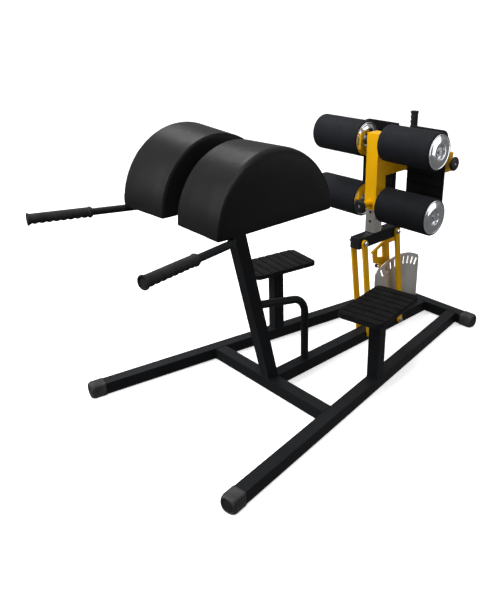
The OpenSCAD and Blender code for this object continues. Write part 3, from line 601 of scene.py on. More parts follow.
def finish_of(slot):
    """The material for one of the record's slots, made when it is first asked for."""
    if slot not in FINISHES:
        FINISHES[slot] = MAKERS[slot]()
    return FINISHES[slot]


SLOTS = {s["node"]: s["material_slot"] for s in frame["record"]["subparts"]}
BODY_OF = {n: b for b, ns in frame["record"]["behaviour"]["bodies"].items() for n in ns}
SQUARE_TUBES = (
    "rail_left", "rail_right", "front_crossbeam", "centre_beam", "rear_crossbar", "upright", "pad_crossbar",
    "step_posts", "carriage_tube", "height_post", "height_sleeve", "footplate_arm", "foot_slider",
)


# Welds

def loop_round(centre, u, v):
    """A rectangle with a tube's corners; u and v run from its centre to the middles of its sides."""
    corner = bpy.context.scene.bench_frame.tube_edge
    return [centre + u.normalized() * p + v.normalized() * q
            for p, q in rounded_rectangle(u.length, v.length, corner, 4)]


def ring_round(centre, u, v):
    """An ellipse; u and v are its half axes."""
    return [centre + u * math.cos(a) + v * math.sin(a) for a in (math.pi * k / 24 for k in range(48))]


def bead_on(points, radius, closed):
    """A weld bead: a bar along the seam whose thickness ripples as the weld was laid."""
    spacing, ripple, drift = 2 * MM, 0.10, 0.07

    def thickness(i):
        return radius * (1 + ripple * math.sin(i * 2.1) + drift * math.sin(i * 0.37))

    return sweep(resample(points, spacing, closed), thickness, 8, closed)


def frame_seams():
    """Seams of the base: where its tubes butt against each other."""
    look = bpy.context.scene.bench_frame
    front, rear = Vector(look.rail_front), Vector(look.rail_rear)
    yaw = math.atan2(front.x - rear.x, rear.y - front.y)
    ahead = Vector((-math.sin(yaw), math.cos(yaw), 0))
    side = Vector((math.cos(yaw), math.sin(yaw), 0))
    half, mid = half_of("centre_beam").z, middle_of("centre_beam").z
    slanted = half / math.cos(yaw)
    beam_y, step_y = middle_of("front_crossbeam").y, middle_of("step_posts").y

    def rail_x(y):
        return front.x - (y - front.y) * math.tan(yaw)

    right = [loop_round(Vector((rail_x(beam_y) - slanted, beam_y, mid)), ahead * slanted, Z * half),
             loop_round(Vector((rear.x, rear.y, mid)), X * slanted, Z * half)]
    right += [loop_round(Vector((rail_x(step_y), step_y, end.z)), side * half, ahead * half)
              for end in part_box("step_posts")]
    seams = [[mirror @ p for p in seam] for seam in right for mirror in (Matrix(), MIRROR)]
    seams += [loop_round(Vector((0, end.y, mid)), X * half, Z * half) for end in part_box("centre_beam")]
    return seams + upright_seams(half, look.upright_lean)


def upright_seams(half, lean):
    """Seams at the two ends of the leaning upright and of the brace behind it."""
    low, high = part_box("upright")
    deep = half / math.cos(lean)
    foot_y = high.y - deep
    seams = [loop_round(Vector((0, foot_y - (end.z - low.z) * math.tan(lean), end.z)), X * half, Y * deep)
             for end in (low, high)]
    brace_low, brace_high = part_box("brace_tube")
    radius = brace_high.x
    seams.append(ring_round(Vector((0, brace_high.y - radius, brace_low.z)), X * radius, Y * radius))
    # The brace meets the upright at a slant, so its cut is longer than it is wide
    drop, stretch = 1.02, 1.09
    leave = brace_high.z - radius * drop
    face = Vector((0, foot_y + deep - (leave - low.z) * math.tan(lean), leave))
    along = Vector((0, -math.sin(lean), math.cos(lean)))
    seams.append(ring_round(face, X * radius, along * radius * stretch))
    return seams


def quadrant_seams():
    """Two straight seams at the quadrant's foot, which stop short of its corners."""
    low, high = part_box("quadrant_plate")
    short = 4 * MM
    return [[Vector((x, low.y + short, low.z)), Vector((x, high.y - short, low.z))] for x in (low.x, high.x)]


def head_seams():
    """Seams of the roller head: arm, axle collars and pin barrel on the sleeve."""
    sleeve_low, sleeve_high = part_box("height_sleeve")
    arm_low, arm_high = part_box("footplate_arm")
    seams = [loop_round(Vector((0, arm_low.y, middle_of("footplate_arm").z)),
                        X * arm_high.x, Z * half_of("footplate_arm").z)]
    collar = 17.5 * MM
    for level in LEVELS:
        axle = middle_of("roller_hub_%s_right" % level)
        seams += [ring_round(Vector((side * sleeve_high.x, axle.y, axle.z)), Y * collar, Z * collar)
                  for side in SIDES.values()]
    pin_z, barrel = middle_of("height_pin_barrel").z, half_of("height_pin_barrel").x
    seams.append(ring_round(Vector((0, sleeve_low.y, pin_z)), X * barrel, Z * barrel))
    return seams


def slider_seams():
    """Seams of the footplate slider: its cross tubes and its upright handle."""
    body_x, handle_radius, body_top = 37 * MM, 11 * MM, 7 * MM
    tube, half = middle_of("cross_tube_plugs"), half_of("cross_tube_plugs")
    seams = [loop_round(Vector((side * body_x, tube.y, tube.z)), Y * half.y, Z * half.z)
             for side in SIDES.values()]
    foot = Vector((0, middle_of("foot_grip").y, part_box("footplate_arm")[1].z + body_top))
    seams.append(ring_round(foot, X * handle_radius, Y * handle_radius))
    return seams


def post_seams():
    """The height post's seam on the carriage tube."""
    low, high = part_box("height_post")
    return [loop_round(Vector((0, low.y + high.x, low.z)), X * high.x, Y * high.x)]


def lock_seams():
    """The barrel's seam on the left rear link."""
    centre, half = middle_of("lock_barrel"), half_of("lock_barrel").z
    return [ring_round(Vector((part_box("lock_barrel")[0].x, centre.y, centre.z)), Y * half, Z * half)]


# Pads

def pad_outline(corner):
    """Half-round outline of radius 1 in Y and Z, front to rear over the top, with round lower corners."""
    start = math.asin(corner / (1 - corner))
    centre = (1 - corner) * math.cos(start)
    turns = [-math.pi / 2 + i * (math.pi / 2 + start) / 6 for i in range(6)]
    front = [(-centre - corner * math.cos(a), corner + corner * math.sin(a)) for a in turns]
    over = [start + i * (math.pi - 2 * start) / 48 for i in range(49)]
    return front + [(-math.cos(a), math.sin(a)) for a in over] + [(-y, z) for y, z in reversed(front)]


class PadForm:
    """The form of one pad: where a point of its cover lies, before it fills."""

    def __init__(self, side):
        look = bpy.context.scene.bench_pads
        low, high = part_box("pad_right")
        self.look, self.side, self.base = look, side, low.z - look.skirt
        self.start = low.x + look.undersize
        self.width = high.x - low.x - 2 * look.undersize
        self.middle_y = (low.y + high.y) / 2
        which = 0 if side > 0 else 1
        self.top_edge = look.outer_edge_top[which]
        self.outer_radius = look.outer_radius[which]
        self.rise = look.crown_rise[which]

    def edge(self, z, outer):
        """Rolled edge at a height of the unit outline; the outer one grows towards the top."""
        if not outer:
            return self.look.inner_edge
        foot, growth = self.look.outer_edge_foot, 1.6
        return foot + (self.top_edge - foot) * max(0.0, z) ** growth

    def point(self, y, z, across, inset):
        """A point of the unit outline, at a distance from the inner side and drawn in by an inset."""
        radius = self.look.inner_radius + (self.outer_radius - self.look.inner_radius) * across / self.width
        reach = radius - self.look.undersize - inset
        return Vector((self.side * (self.start + across), self.middle_y + y * reach,
                       self.base + z * (reach + self.rise)))

    def rolled(self, y, z, outer, turn):
        """A point on a rolled edge: turn runs from 0 at the side face to a right angle at the crown."""
        edge = self.edge(z, outer)
        across = edge * (1 - math.cos(turn))
        return self.point(y, z, self.width - across if outer else across, edge * (1 - math.sin(turn)))

    def crown(self, y, z, share):
        """A point of the crown, at a share of the way from its inner edge to its outer one."""
        start, end = self.edge(z, False), self.width - self.edge(z, True)
        return self.point(y, z, start + share * (end - start), 0.0)

    def blank(self):
        """The whole cover as a closed mesh."""
        outline = pad_outline(self.look.corner / self.outer_radius)
        turns = [math.pi / 2 * i / 7 for i in range(8)]
        rings = [[self.rolled(y, z, False, a) for y, z in outline] for a in turns]
        rings += [[self.crown(y, z, share) for y, z in outline] for share in (0.25, 0.4, 0.5, 0.6, 0.75)]
        rings += [[self.rolled(y, z, True, a) for y, z in outline] for a in reversed(turns)]
        return loft(rings)

    def seam(self, outer):
        """Path of a sewn seam along a rolled edge, from the front foot over the crown to the rear foot."""
        lift, steps, turn = 0.03, 240, math.radians(28)
        turns = [lift + (math.pi - 2 * lift) * i / steps for i in range(steps + 1)]
        return [self.rolled(-math.cos(a), math.sin(a), outer, turn) for a in turns]


def evened(values, edges, rounds):
    """Values at the points of a mesh, each moved halfway to its neighbours' mean, round after round."""
    pairs = [tuple(edge.vertices) for edge in edges]
    count = [0] * len(values)
    for a, b in pairs:
        count[a] += 1
        count[b] += 1
    for _ in range(rounds):
        total = [0.0] * len(values)
        for a, b in pairs:
            total[a] += values[b]
            total[b] += values[a]
        values = [(v + t / max(1, n)) / 2 for v, t, n in zip(values, total, count)]
    return values


def mesh_with_modifiers(thing):
    """A new mesh that keeps what an object's modifiers do."""
    return bpy.data.meshes.new_from_object(thing.evaluated_get(bpy.context.evaluated_depsgraph_get()))


def swell_as_cloth(blank, look, floor_z):
    """Blows a cover up as cloth that is held at its underside.

    Foam holds the cover from inside, so only the even part of the swelling is kept, and no wrinkles.
    """
    cells = blank.data
    before = [v.co.copy() for v in cells.vertices]
    out = [v.normal.copy() for v in cells.vertices]
    held_height, frames = 3 * MM, 20
    held = blank.vertex_groups.new(name="held")
    held.add([v.index for v in cells.vertices if v.co.z < floor_z + held_height], 1.0, "REPLACE")
    cloth = blank.modifiers.new("Fill", "CLOTH").settings
    cloth.quality = 5
    cloth.mass = 0.3
    cloth.tension_stiffness = 15
    cloth.compression_stiffness = 15
    cloth.shear_stiffness = 5
    cloth.bending_stiffness = 0.5
    cloth.use_pressure = True
    cloth.uniform_pressure_force = 4
    cloth.vertex_group_mass = "held"
    cloth.effector_weights.gravity = 0
    for at in range(1, frames + 1):
        bpy.context.scene.frame_set(at)
    filled = mesh_with_modifiers(blank)
    swell = [min(look.swell, max(0.0, (vertex.co - start).dot(way)))
             for vertex, start, way in zip(filled.vertices, before, out)]
    swell = evened(swell, cells.edges, look.evening)
    for vertex, start, way, rise in zip(cells.vertices, before, out, swell):
        vertex.co = start + way * rise
    blank.modifiers.clear()
    bpy.context.scene.frame_set(1)
    bpy.data.meshes.remove(filled)


def fill_with_foam(bm, look, floor_z):
    """Turns a closed cover into even cells, lets it swell and returns it as a mesh under construction."""
    blank = object_from("pad_cover_blank", bm, None)
    coarse = blank.data
    remesh = blank.modifiers.new("Cells", "REMESH")
    remesh.mode = "VOXEL"
    remesh.voxel_size = look.voxel
    bpy.context.view_layer.update()
    cells = mesh_with_modifiers(blank)
    blank.modifiers.clear()
    blank.data = cells
    bpy.data.meshes.remove(coarse)
    swell_as_cloth(blank, look, floor_z)
    result = bmesh.new()
    result.from_mesh(cells)
    bpy.data.objects.remove(blank)
    bpy.data.meshes.remove(cells)
    return result


def on_surface(tree, points, lift=0.0):
    """The points moved onto a surface, and a little off it."""
    result = []
    for point in points:
        hit, normal, _, _ = tree.find_nearest(point)
        result.append(hit + normal * lift)
    return result


def sew(bm, seams, look):
    """Presses a narrow groove into the cover along each seam, with soft puckers beside it."""
    bm.normal_update()
    points = [point for seam in seams for point in seam]
    finder = KDTree(len(points))
    for index, point in enumerate(points):
        finder.insert(point, index)
    finder.balance()
    reach, spread, beat = 10, 3.5, 0.5
    for vertex in bm.verts:
        _, index, away = finder.find(vertex.co)
        share = away / look.seam_width
        if share < reach:
            groove = look.seam_depth * math.exp(-share ** 2)
            pucker = look.pucker * math.exp(-(share / spread) ** 2) * math.sin(index * beat)
            vertex.co -= vertex.normal * (groove + pucker)


def relax(bm, rounds):
    """Moves each point towards the mean of its neighbours, round after round."""
    for _ in range(rounds):
        bmesh.ops.smooth_vert(
            bm, verts=bm.verts, factor=0.5, use_axis_x=True, use_axis_y=True, use_axis_z=True)


def stitches_on(tree, seam, crown_way, pitch):
    """Thread beside a seam, on the crown's side of its groove, laid on the cover."""
    beside, thread, parts, spare = 4 * MM, 0.5 * MM, 5, 9
    bulge = (-0.1 * MM, 0.35 * MM, 0.35 * MM, -0.1 * MM)
    path = resample([p + crown_way * beside for p in seam], pitch / parts, False)
    bm = bmesh.new()
    for i in range(parts, len(path) - spare, parts):
        points = on_surface(tree, path[i:i + 4])
        lifted = [on_surface(tree, [p], lift)[0] for p, lift in zip(points, bulge)]
        join(bm, sweep(lifted, thread, 6))
    return bm


# Turned and lofted parts

def in_metres(points):
    """Points given in mm, in metres."""
    return [tuple(value * MM for value in point) for point in points]


def roller_foam_mesh(look, length, radius, seed):
    """A foam sleeve along Z from its inner end, with soft ends and a slightly uneven skin."""
    hollow, seat, lip, clear = 17 * MM, 36 * MM, 70.4 * MM, 0.5 * MM
    core_depth, hub_depth, lip_depth, inset = 10 * MM, 2.9 * MM, 1.2 * MM, 1 * MM
    edge, steps, sides, lumps, shift = look.edge, 26, 96, 26, 7.3
    arc = [(radius - edge + edge * math.sin(a), inset + edge - edge * math.cos(a))
           for a in (math.pi / 12 * i for i in range(7))]
    start = [(hollow, core_depth), (seat, core_depth), (seat, hub_depth), (lip, hub_depth),
             (lip, lip_depth)] + arc
    soft = start[-1][1]
    body = [(radius, soft + (length - 2 * soft) * i / steps) for i in range(1, steps)]
    bm = lathe(start + body + [(r, length - h) for r, h in reversed(start)], sides)
    for vertex in bm.verts:
        r = math.hypot(vertex.co.x, vertex.co.y)
        if r > lip + clear:
            wave = noise.noise(vertex.co * lumps + X * seed * shift)
            vertex.co += Vector((vertex.co.x / r, vertex.co.y / r, 0)) * look.wave * (wave - 1)
    return bm


def roller_hub_mesh(look, length):
    """A hub along Z from its inner end: a core tube with a domed, rolled cap at each end.

    Radii and heights are in mm, and the dome's heights are shares of its rise.
    """
    neck = ((22, -5.5), (25.5, -4.6))
    dome = ((28, 0.5), (31, 0.93), (35, 1.0), (42, 0.93), (49, 0.72), (55, 0.42), (60, 0.08))
    rim = ((62.5, -0.6), (64.5, -0.4), (66.5, 0.2), (68.5, -0.1), (69.8, -1.1), (70, -2.6))
    inside = ((60, -2.6), (35.5, -2.6), (30.5, -6.7), (16, -6.7))
    end = ([(look.hub_bore, -5.5 * MM)] + in_metres(neck)
           + [(r * MM, look.dome * share) for r, share in dome] + in_metres(rim + inside))
    end = [(r, length + h) for r, h in end]
    return lathe(end + [(r, length - h) for r, h in reversed(end)], 96)


def grip_mesh(radius, flange, bore, length, ribs, closed_end=True):
    """A rubber grip along +Z: stepped at its inner end, a flange at its tip, finger ribs on its -X side."""
    tip, collar, sides = radius + flange, radius + flange / 2, 40
    first, last = 14 * MM, length - 13 * MM
    pitch = (last - first) / ribs
    hollows = ((0.04, 3.0), (0.12, 2.5), (0.24, 1.1), (0.36, 0.3), (0.5, 0.0),
               (0.64, 0.3), (0.76, 1.1), (0.88, 2.5), (0.96, 3.0))

    def rib(depth):
        return lambda a: radius - depth * (0.5 - 0.5 * math.cos(a)) ** 2

    profile = [(bore, 0), (radius - 1.5 * MM, 0), (radius - 0.5 * MM, 1 * MM), (radius - 0.5 * MM, 4 * MM),
               (collar - 0.6 * MM, 5 * MM), (collar, 6 * MM), (collar, 9 * MM), (collar - 0.6 * MM, 10 * MM),
               (radius, 12 * MM)]
    profile += [(rib(depth * MM), first + pitch * (i + share))
                for i in range(ribs) for share, depth in hollows]
    profile += [(radius, length - 9 * MM), (tip - 1 * MM, length - 6 * MM), (tip, length - 4.5 * MM),
                (tip, length - 1.2 * MM), (tip - 1.2 * MM, length)]
    if closed_end:
        profile += [(radius - 1.5 * MM, length), (radius - 2.5 * MM, length - 4 * MM),
                    (radius - 5 * MM, length - 4.5 * MM), (radius - 6 * MM, length - 2.6 * MM),
                    (3 * MM, length - 2.6 * MM)]
    else:
        profile.append((bore, length))
    return loft([circle(r, h, sides) for r, h in profile], round_trip=not closed_end)


def knob_mesh(radius, stem, flutes):
    """A fluted pull knob along +Z, from its neck at 0, with a recess for the pin's end.

    Radii are shares of the knob's, and heights and the flutes' depths are in mm.
    """
    neck = ((0.42, 0), (0.45, 1), (0.45, 4.5), (0.62, 5.6))
    fluted = ((0.84, 6.4, 0.4), (0.94, 7.6, 1.0), (0.99, 9.5, 1.4), (1.0, 12, 1.6),
              (0.99, 14.5, 1.4), (0.94, 16.6, 1.0), (0.84, 18.2, 0.4))
    top = ((0.7, 19.3), (0.5, 20), (0.34, 20), (0.32, 18.5))

    def flute(r, depth):
        return lambda a: r - depth * (0.5 - 0.5 * math.cos(flutes * a)) ** 2

    profile = [(stem, 0)] + [(radius * share, h * MM) for share, h in neck]
    profile += [(flute(radius * share, depth * MM), h * MM) for share, h, depth in fluted]
    profile += [(radius * share, h * MM) for share, h in top] + [(stem, top[-1][1] * MM)]
    sides = flutes * 6
    return loft([circle(r, h, sides) for r, h in profile], round_trip=True)


def end_cap_mesh(half, length, tube_half, grooves):
    """A rubber cap over a square tube, along +Z from its outer face: nearly round there, square at the tube.

    Each ring has its inset from the cap's side, its corner radius and its height, in mm.
    """
    end, square_corner, rounding, round_share = length / MM, 8, 18, 0.45

    def corner_at(z):
        return square_corner + rounding * max(0.0, 1 - z / (end * round_share)) ** 3

    rings = [(11, 17, 3.6), (4.6, 23, 3.4), (3.4, 24.2, 2.4), (2.9, 24.6, 0.4), (2.2, 25, 0), (1, 25, 0.5),
             (0.3, 23, 2)] + [(0, corner_at(z), z) for z in (4, 6, 9, 12, 16)]
    groove = ((0.4, -1.8), (1.2, -0.9), (1.2, 0.9), (0.4, 1.8))
    first, pitch = 26, 9
    for middle in (first + pitch * i for i in range(grooves)):
        rings += [(inset, corner_at(middle), middle + h) for inset, h in groove]
    rings += [(0.6, 7, end - 2), (1, 6.6, end - 0.5), (1.8, 6, end), ((half - tube_half) / MM + 0.4, 3, end)]
    return loft([[(x, y, z) for x, y in rounded_rectangle(half - inset, half - inset, corner, 8)]
                 for inset, corner, z in in_metres(rings)])


def handle_layout():
    """Points and directions of the right handle tube, worked out in its tilted plane."""
    look = bpy.context.scene.bench_handles
    drop, steps = 4 * MM, 12
    bar, bar_half = middle_of("pad_crossbar"), half_of("pad_crossbar").y
    forward = Vector((0, -math.cos(look.rise), math.sin(look.rise)))

    def heading(splay):
        return X * math.sin(splay) + forward * math.cos(splay)

    corner = Vector((0, bar.y, bar.z - drop)) + X * look.corner[0] + forward * look.corner[1]
    root_way, out_way = heading(look.root_splay), heading(look.splay)
    turn = look.root_splay - look.splay
    root_start = corner - root_way * ((look.corner[1] - bar_half) / math.cos(look.root_splay))
    flange = look.grip_radius + look.grip_flange
    tip_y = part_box("hand_grip_right")[0].y
    reach = (corner.y - tip_y - flange * math.sqrt(1 - out_way.y ** 2)) / -out_way.y
    centre = (corner - root_way * look.bend * math.tan(turn / 2)
              + heading(look.root_splay - math.pi / 2) * look.bend)
    bend = [centre - heading(look.root_splay - turn * i / steps - math.pi / 2) * look.bend
            for i in range(steps + 1)]
    return root_start, bend, corner + out_way * reach, out_way


# Operators, one for each group of pieces

class BENCH_OT_carried_parts(bpy.types.Operator):
    """Gives every carried CAD part its finish and soft edges"""

    bl_idname = "bench.carried_parts"
    bl_label = "Carried parts"

    def execute(self, context):
        look = context.scene.bench_frame
        for node, slot in SLOTS.items():
            edge, segments = (look.tube_edge, 3) if node in SQUARE_TUBES else (look.plate_edge, 2)
            dress(node, finish_of(slot), edge, segments)
        return {"FINISHED"}


class BENCH_OT_end_caps(bpy.types.Operator):
    """Makes the four rubber end caps, with a dark disc of painted shade in each recess"""

    bl_idname = "bench.end_caps"
    bl_label = "End caps"

    def execute(self, context):
        look = context.scene.bench_frame
        half, tube_half = half_of("end_caps").z, half_of("rear_crossbar").z
        proud, length, grain = 6 * MM, 60 * MM, 0.35 * MM
        rim, sunk, fall = 3.8 * MM, 3.6 * MM, 0.4 * MM
        front, rear = Vector((*look.rail_front, 0)), Vector((*look.rail_rear, 0))
        along = (rear - front).normalized()
        bar_end = Vector((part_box("rear_crossbar")[1].x + proud, middle_of("rear_crossbar").y, half))
        right = [look_along(front - along * proud + Z * half, along), look_along(bar_end, -X)]
        places = [mirror @ place for place in right for mirror in (Matrix(), MIRROR)]
        caps, recess_shades = bmesh.new(), bmesh.new()
        for place in places:
            join(caps, moved_to(end_cap_mesh(half, length, tube_half, look.cap_grooves), place))
            # Painted shade: a thin disc of darker rubber over each recess's floor, where the recess lies in
            # shadow
            shade_dish = [circle((half - rim) * share, sunk - fall * share, 48) for share in (0.1, 0.6, 1.0)]
            join(recess_shades, moved_to(loft(shade_dish, ends=False), place))
        # The discs are darker rubber than the caps, so the recesses carry painted shade
        piece_from("end_cap_painted_shade", recess_shades, "base", "rubber",
                   finish=make_rubber("recess_shade_rubber", 1.1, grain))
        piece_from("rubber_end_caps", caps, "base", "rubber", ["end_caps"], 50,
                   make_rubber("cap_rubber", 2.3, grain))
        return {"FINISHED"}


class BENCH_OT_welds(bpy.types.Operator):
    """Lays the weld beads where tubes and plates meet"""

    bl_idname = "bench.welds"
    bl_label = "Weld beads"

    def execute(self, context):
        groups = (
            ("frame_welds", "base", "black_paint", frame_seams()),
            ("quadrant_welds", "base", "polished_steel", quadrant_seams()),
            ("head_welds", "head", "yellow_paint", head_seams()),
            ("slider_welds", "foot_carriage", "yellow_paint", slider_seams()),
            ("post_weld", "carriage", "black_paint", post_seams()),
            ("lock_barrel_weld", "rear_links", "yellow_paint", lock_seams()),
        )
        for name, body, slot, seams in groups:
            bm = bmesh.new()
            for seam in seams:
                join(bm, bead_on(seam, context.scene.bench_frame.bead, closed=len(seam) > 2))
            piece_from(name, bm, body, slot, sharp=80)
        return {"FINISHED"}


class BENCH_OT_pads(bpy.types.Operator):
    """Makes the two thigh pads: a cover that fills as cloth, sewn seams and thread"""

    bl_idname = "bench.pads"
    bl_label = "Thigh pads"

    def execute(self, context):
        look = context.scene.bench_pads
        for name, side in SIDES.items():
            form = PadForm(side)
            cover = fill_with_foam(form.blank(), look, form.base)
            relax(cover, 1)
            bmesh.ops.subdivide_edges(cover, edges=cover.edges, cuts=1, use_grid_fill=True)
            relax(cover, 2)
            tree = BVHTree.FromBMesh(cover)
            seams = [on_surface(tree, form.seam(outer)) for outer in (False, True)]
            sew(cover, seams, look)
            self.seat_on_board(cover, form.base)
            tree = BVHTree.FromBMesh(cover)
            thread = bmesh.new()
            for seam, way in zip(seams, (side, -side)):
                join(thread, stitches_on(tree, seam, X * way, look.stitch_pitch))
            pad = piece_from("thigh_pad_" + name, cover, "base", "pad_cover", ["pad_" + name], 180)
            piece_from("pad_thread_" + name, thread, "base", "pad_cover", sharp=180)
        return {"FINISHED"}

    @staticmethod
    def seat_on_board(cover, base):
        """Flattens the underside, with a pocket for the board."""
        low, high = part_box("pad_boards")
        inner = 2 * middle_of("pad_right").x - high.x
        gap, pocket = 0.4 * MM, 6 * MM
        for vertex in cover.verts:
            p = vertex.co
            over_board = inner < abs(p.x) < high.x and low.y < p.y < high.y
            if p.z < low.z + pocket and over_board:
                p.z = high.z + gap
            elif p.z < base + gap:
                p.z = base + gap


class BENCH_OT_rollers(bpy.types.Operator):
    """Makes the four foam rollers and their domed chrome hubs"""

    bl_idname = "bench.rollers"
    bl_label = "Foam rollers"

    def execute(self, context):
        look = context.scene.bench_rollers
        for seed, level in enumerate(LEVELS):
            for name, side in SIDES.items():
                where = "%s_%s" % (level, name)
                body, node = "roller_" + where, "roller_foam_" + where
                half = half_of(node)
                inner_end = middle_of(node) - X * side * (half.x + MM)
                length = 2 * (half.x + MM)
                place = look_along(inner_end, X * side)
                foam = moved_to(roller_foam_mesh(look, length, half.z, seed * 2 + side), place)
                piece = piece_from("foam_roller_" + where, foam, body, "roller_foam", [node], 50)
                hub = moved_to(roller_hub_mesh(look, length - 2 * MM), place @ Matrix.Translation(Z * MM))
                piece_from("chrome_hub_" + where, hub, body, "chrome", ["roller_hub_" + where], 30)
        return {"FINISHED"}


class BENCH_OT_handles(bpy.types.Operator):
    """Makes the bent handle tubes and their ribbed grips, and the grip above the footplates"""

    bl_idname = "bench.handles"
    bl_label = "Handles and grips"

    def execute(self, context):
        look = context.scene.bench_handles
        root, bend, tip, way = handle_layout()
        spacing, inside, slack = 15 * MM, 8 * MM, 0.1 * MM
        path = (resample([root, bend[0]], spacing, False) + bend[1:]
                + resample([bend[-1], tip - way * inside], spacing, False)[1:])
        place = look_along(tip - way * look.grip_length, way) @ Matrix.Rotation(math.pi / 2, 4, "Z")
        for name, side in SIDES.items():
            mirror = Matrix() if side > 0 else MIRROR
            piece_from("handle_" + name, moved_to(sweep(path, look.tube_radius, 32), mirror),
                       "base", "black_paint", ["handle_tube_" + name], 50)
            grip = grip_mesh(look.grip_radius, look.grip_flange, look.tube_radius + slack, look.grip_length,
                             look.finger_ribs)
            piece_from("ribbed_grip_" + name, moved_to(grip, mirror @ place),
                       "base", "grip_rubber", ["hand_grip_" + name], 60)
        half, foot = half_of("foot_grip"), middle_of("foot_grip")
        flange, bore, ribs = 2 * MM, 11.1 * MM, 4
        grip = grip_mesh(half.x - flange, flange, bore, 2 * half.z, ribs, closed_end=False)
        piece_from("footplate_grip", moved_to(grip, Matrix.Translation(foot - Z * half.z)),
                   "foot_carriage", "grip_rubber", ["foot_grip"], 60)
        return {"FINISHED"}


class BENCH_OT_knobs(bpy.types.Operator):
    """Makes the fluted pull knobs"""

    bl_idname = "bench.knobs"
    bl_label = "Pull knobs"

    def execute(self, context):
        flutes = context.scene.bench_handles.flutes
        for name, node, pin, way in (("height_pull_knob", "height_knob", "height_pin", -Y),
                                     ("footplate_pull_knob", "foot_knob", "foot_pin", X)):
            half = half_of(node)
            place = look_along(middle_of(node) - way * abs(half.dot(way)), way)
            knob = moved_to(knob_mesh(half.z, half_of(pin).z, flutes), place)
            piece_from(name, knob, BODY_OF[node], "black_plastic", [node], 50)
        return {"FINISHED"}


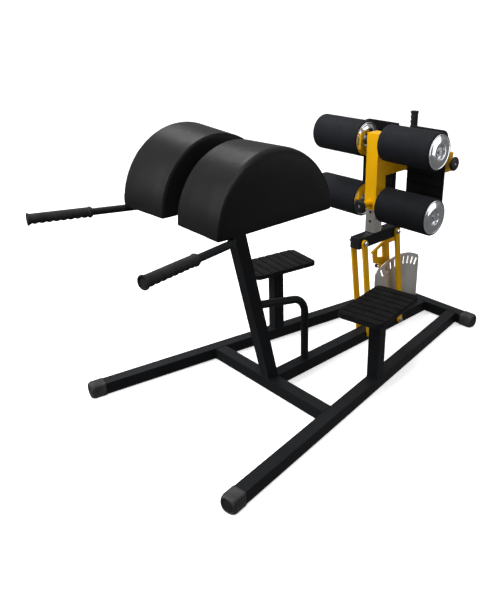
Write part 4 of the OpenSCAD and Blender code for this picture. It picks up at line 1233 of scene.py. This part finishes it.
class BENCH_OT_stage(bpy.types.Operator):
    """Makes the camera, the pale floor and the studio light"""

    bl_idname = "bench.stage"
    bl_label = "Stage"

    def execute(self, context):
        look = context.scene.bench_stage
        self.camera(context, look)
        self.floor(look)
        self.sky(context, look)
        self.lights(context, look)
        context.scene.view_settings.view_transform = "Standard"
        return {"FINISHED"}

    @staticmethod
    def camera(context, look):
        ahead = Vector((-math.sin(look.azimuth) * math.cos(look.pitch),
                        math.cos(look.azimuth) * math.cos(look.pitch), -math.sin(look.pitch)))
        level = Vector((math.cos(look.azimuth), math.sin(look.azimuth), 0))
        up = level.cross(ahead)
        right = level * math.cos(look.roll) + up * math.sin(look.roll)
        above = up * math.cos(look.roll) - level * math.sin(look.roll)
        camera = bpy.data.objects.new("camera", bpy.data.cameras.new("camera"))
        camera.data.lens = look.lens
        camera.data.shift_x, camera.data.shift_y = look.shift
        camera.data.clip_end = 60
        camera.matrix_world = (Matrix.Translation(look.camera_at)
                               @ Matrix((right, above, -ahead)).transposed().to_4x4())
        context.scene.collection.objects.link(camera)
        context.scene.camera = camera

    @staticmethod
    def floor(look):
        """A pale floor and a white surround that throw no light on the bench, so its blacks stay deep."""
        glow = {"Emission_Color": (1, 1, 1, 1)}
        paper = Finish("floor_paper", tuple(look.floor), 0.9, Specular_IOR_Level=0.1,
                       Emission_Strength=look.floor_glow, **glow)
        paper.tint(paper.noise(1.5, 3), scaled(look.floor, 0.985), 0.4, 0.7)
        paper.bump(paper.noise(300, 3), 0.1 * MM, 0.2)
        white = Finish("surround_white", (1, 1, 1), 1.0, Emission_Strength=1.0, **glow)
        reach, below, around = 30, -0.2 * MM, 45
        sheet = bmesh.new()
        sheet.faces.new([sheet.verts.new((x * reach, y * reach, below))
                         for x, y in ((-1, -1), (1, -1), (1, 1), (-1, 1))])
        dome = lathe([(around * math.cos(a), around * math.sin(a))
                      for a in (math.pi * (i / 24 - 0.5) for i in range(25))], 64)
        studio_floor = object_from("studio_floor", sheet, paper.material)
        surround = object_from("surround", dome, white.material)
        for prop in (studio_floor, surround):
            prop.visible_glossy = False
            prop.visible_diffuse = False
        surround.visible_shadow = False

    @staticmethod
    def sky(context, look):
        """A sky that is bright overhead and dim at the horizon, from its shades at heights of 0 to 1."""
        shades = ((0.0, 0.14), (0.47, 0.18), (0.53, 0.26), (0.68, 0.34), (0.88, 0.75), (1.0, 0.9))
        blue = 1.02
        world = bpy.data.worlds.new("studio")
        world.use_nodes = True
        context.scene.world = world
        tree = world.node_tree
        background = tree.nodes["Background"]
        background.inputs["Strength"].default_value = look.sky
        places = tree.nodes.new("ShaderNodeTexCoord")
        split = tree.nodes.new("ShaderNodeSeparateXYZ")
        height = tree.nodes.new("ShaderNodeMapRange")
        height.inputs["From Min"].default_value = -1
        ramp = tree.nodes.new("ShaderNodeValToRGB")
        for index, (place, shade) in enumerate(shades):
            stop = ramp.color_ramp.elements[index] if index < 2 else ramp.color_ramp.elements.new(place)
            stop.position = place
            stop.color = (shade, shade, shade * blue, 1)
        for source, target in ((places.outputs["Generated"], split.inputs["Vector"]),
                               (split.outputs["Z"], height.inputs["Value"]),
                               (height.outputs["Result"], ramp.inputs["Fac"]),
                               (ramp.outputs["Color"], background.inputs["Color"])):
            tree.links.new(source, target)

    @staticmethod
    def lights(context, look):
        """Four soft lights that face the middle of the bench."""
        middle = Z * 0.6
        for name, at, size, power in (
                ("key_light", (-1.6, -3.4, 2.7), 3.0, look.key),
                ("left_light", (-2.6, 0.5, 3.8), 1.3, look.left),
                ("rear_light", (2.7, 2.3, 0.95), 1.6, look.rear),
                ("top_light", (0.2, -1.3, 3.4), 1.8, look.top)):
            lamp = bpy.data.lights.new(name, "AREA")
            lamp.energy = power
            lamp.size = size
            holder = bpy.data.objects.new(name, lamp)
            holder.location = at
            holder.rotation_mode = "QUATERNION"
            holder.rotation_quaternion = (middle - Vector(at)).to_track_quat("-Z", "Y")
            context.scene.collection.objects.link(holder)


OPERATORS = (
    BENCH_OT_stage, BENCH_OT_carried_parts, BENCH_OT_end_caps, BENCH_OT_welds, BENCH_OT_pads,
    BENCH_OT_rollers, BENCH_OT_handles, BENCH_OT_knobs,
)


class BENCH_PT_panel(bpy.types.Panel):
    """Lists the settings and the steps that dress the bench"""

    bl_idname = "BENCH_PT_panel"
    bl_label = "Glute ham developer"
    bl_space_type = "VIEW_3D"
    bl_region_type = "UI"
    bl_category = "Glute ham developer"

    def draw(self, context):
        for attribute, group in SETTINGS.items():
            box = self.layout.box()
            box.label(text=group.__doc__)
            for name in group.__annotations__:
                box.prop(getattr(context.scene, attribute), name)
        for operator in OPERATORS:
            self.layout.operator(operator.bl_idname)


def register():
    for group in SETTINGS.values():
        bpy.utils.register_class(group)
    for operator in OPERATORS:
        bpy.utils.register_class(operator)
    bpy.utils.register_class(BENCH_PT_panel)
    for attribute, group in SETTINGS.items():
        setattr(bpy.types.Scene, attribute, PointerProperty(type=group))


def unregister():
    for attribute in SETTINGS:
        delattr(bpy.types.Scene, attribute)
    bpy.utils.unregister_class(BENCH_PT_panel)
    for operator in reversed(OPERATORS):
        bpy.utils.unregister_class(operator)
    for group in reversed(list(SETTINGS.values())):
        bpy.utils.unregister_class(group)


def main():
    register()
    bpy.ops.bench.stage()
    bpy.ops.bench.carried_parts()
    bpy.ops.bench.end_caps()
    bpy.ops.bench.welds()
    bpy.ops.bench.pads()
    bpy.ops.bench.rollers()
    bpy.ops.bench.handles()
    bpy.ops.bench.knobs()


if __name__ == "__main__":
    main()
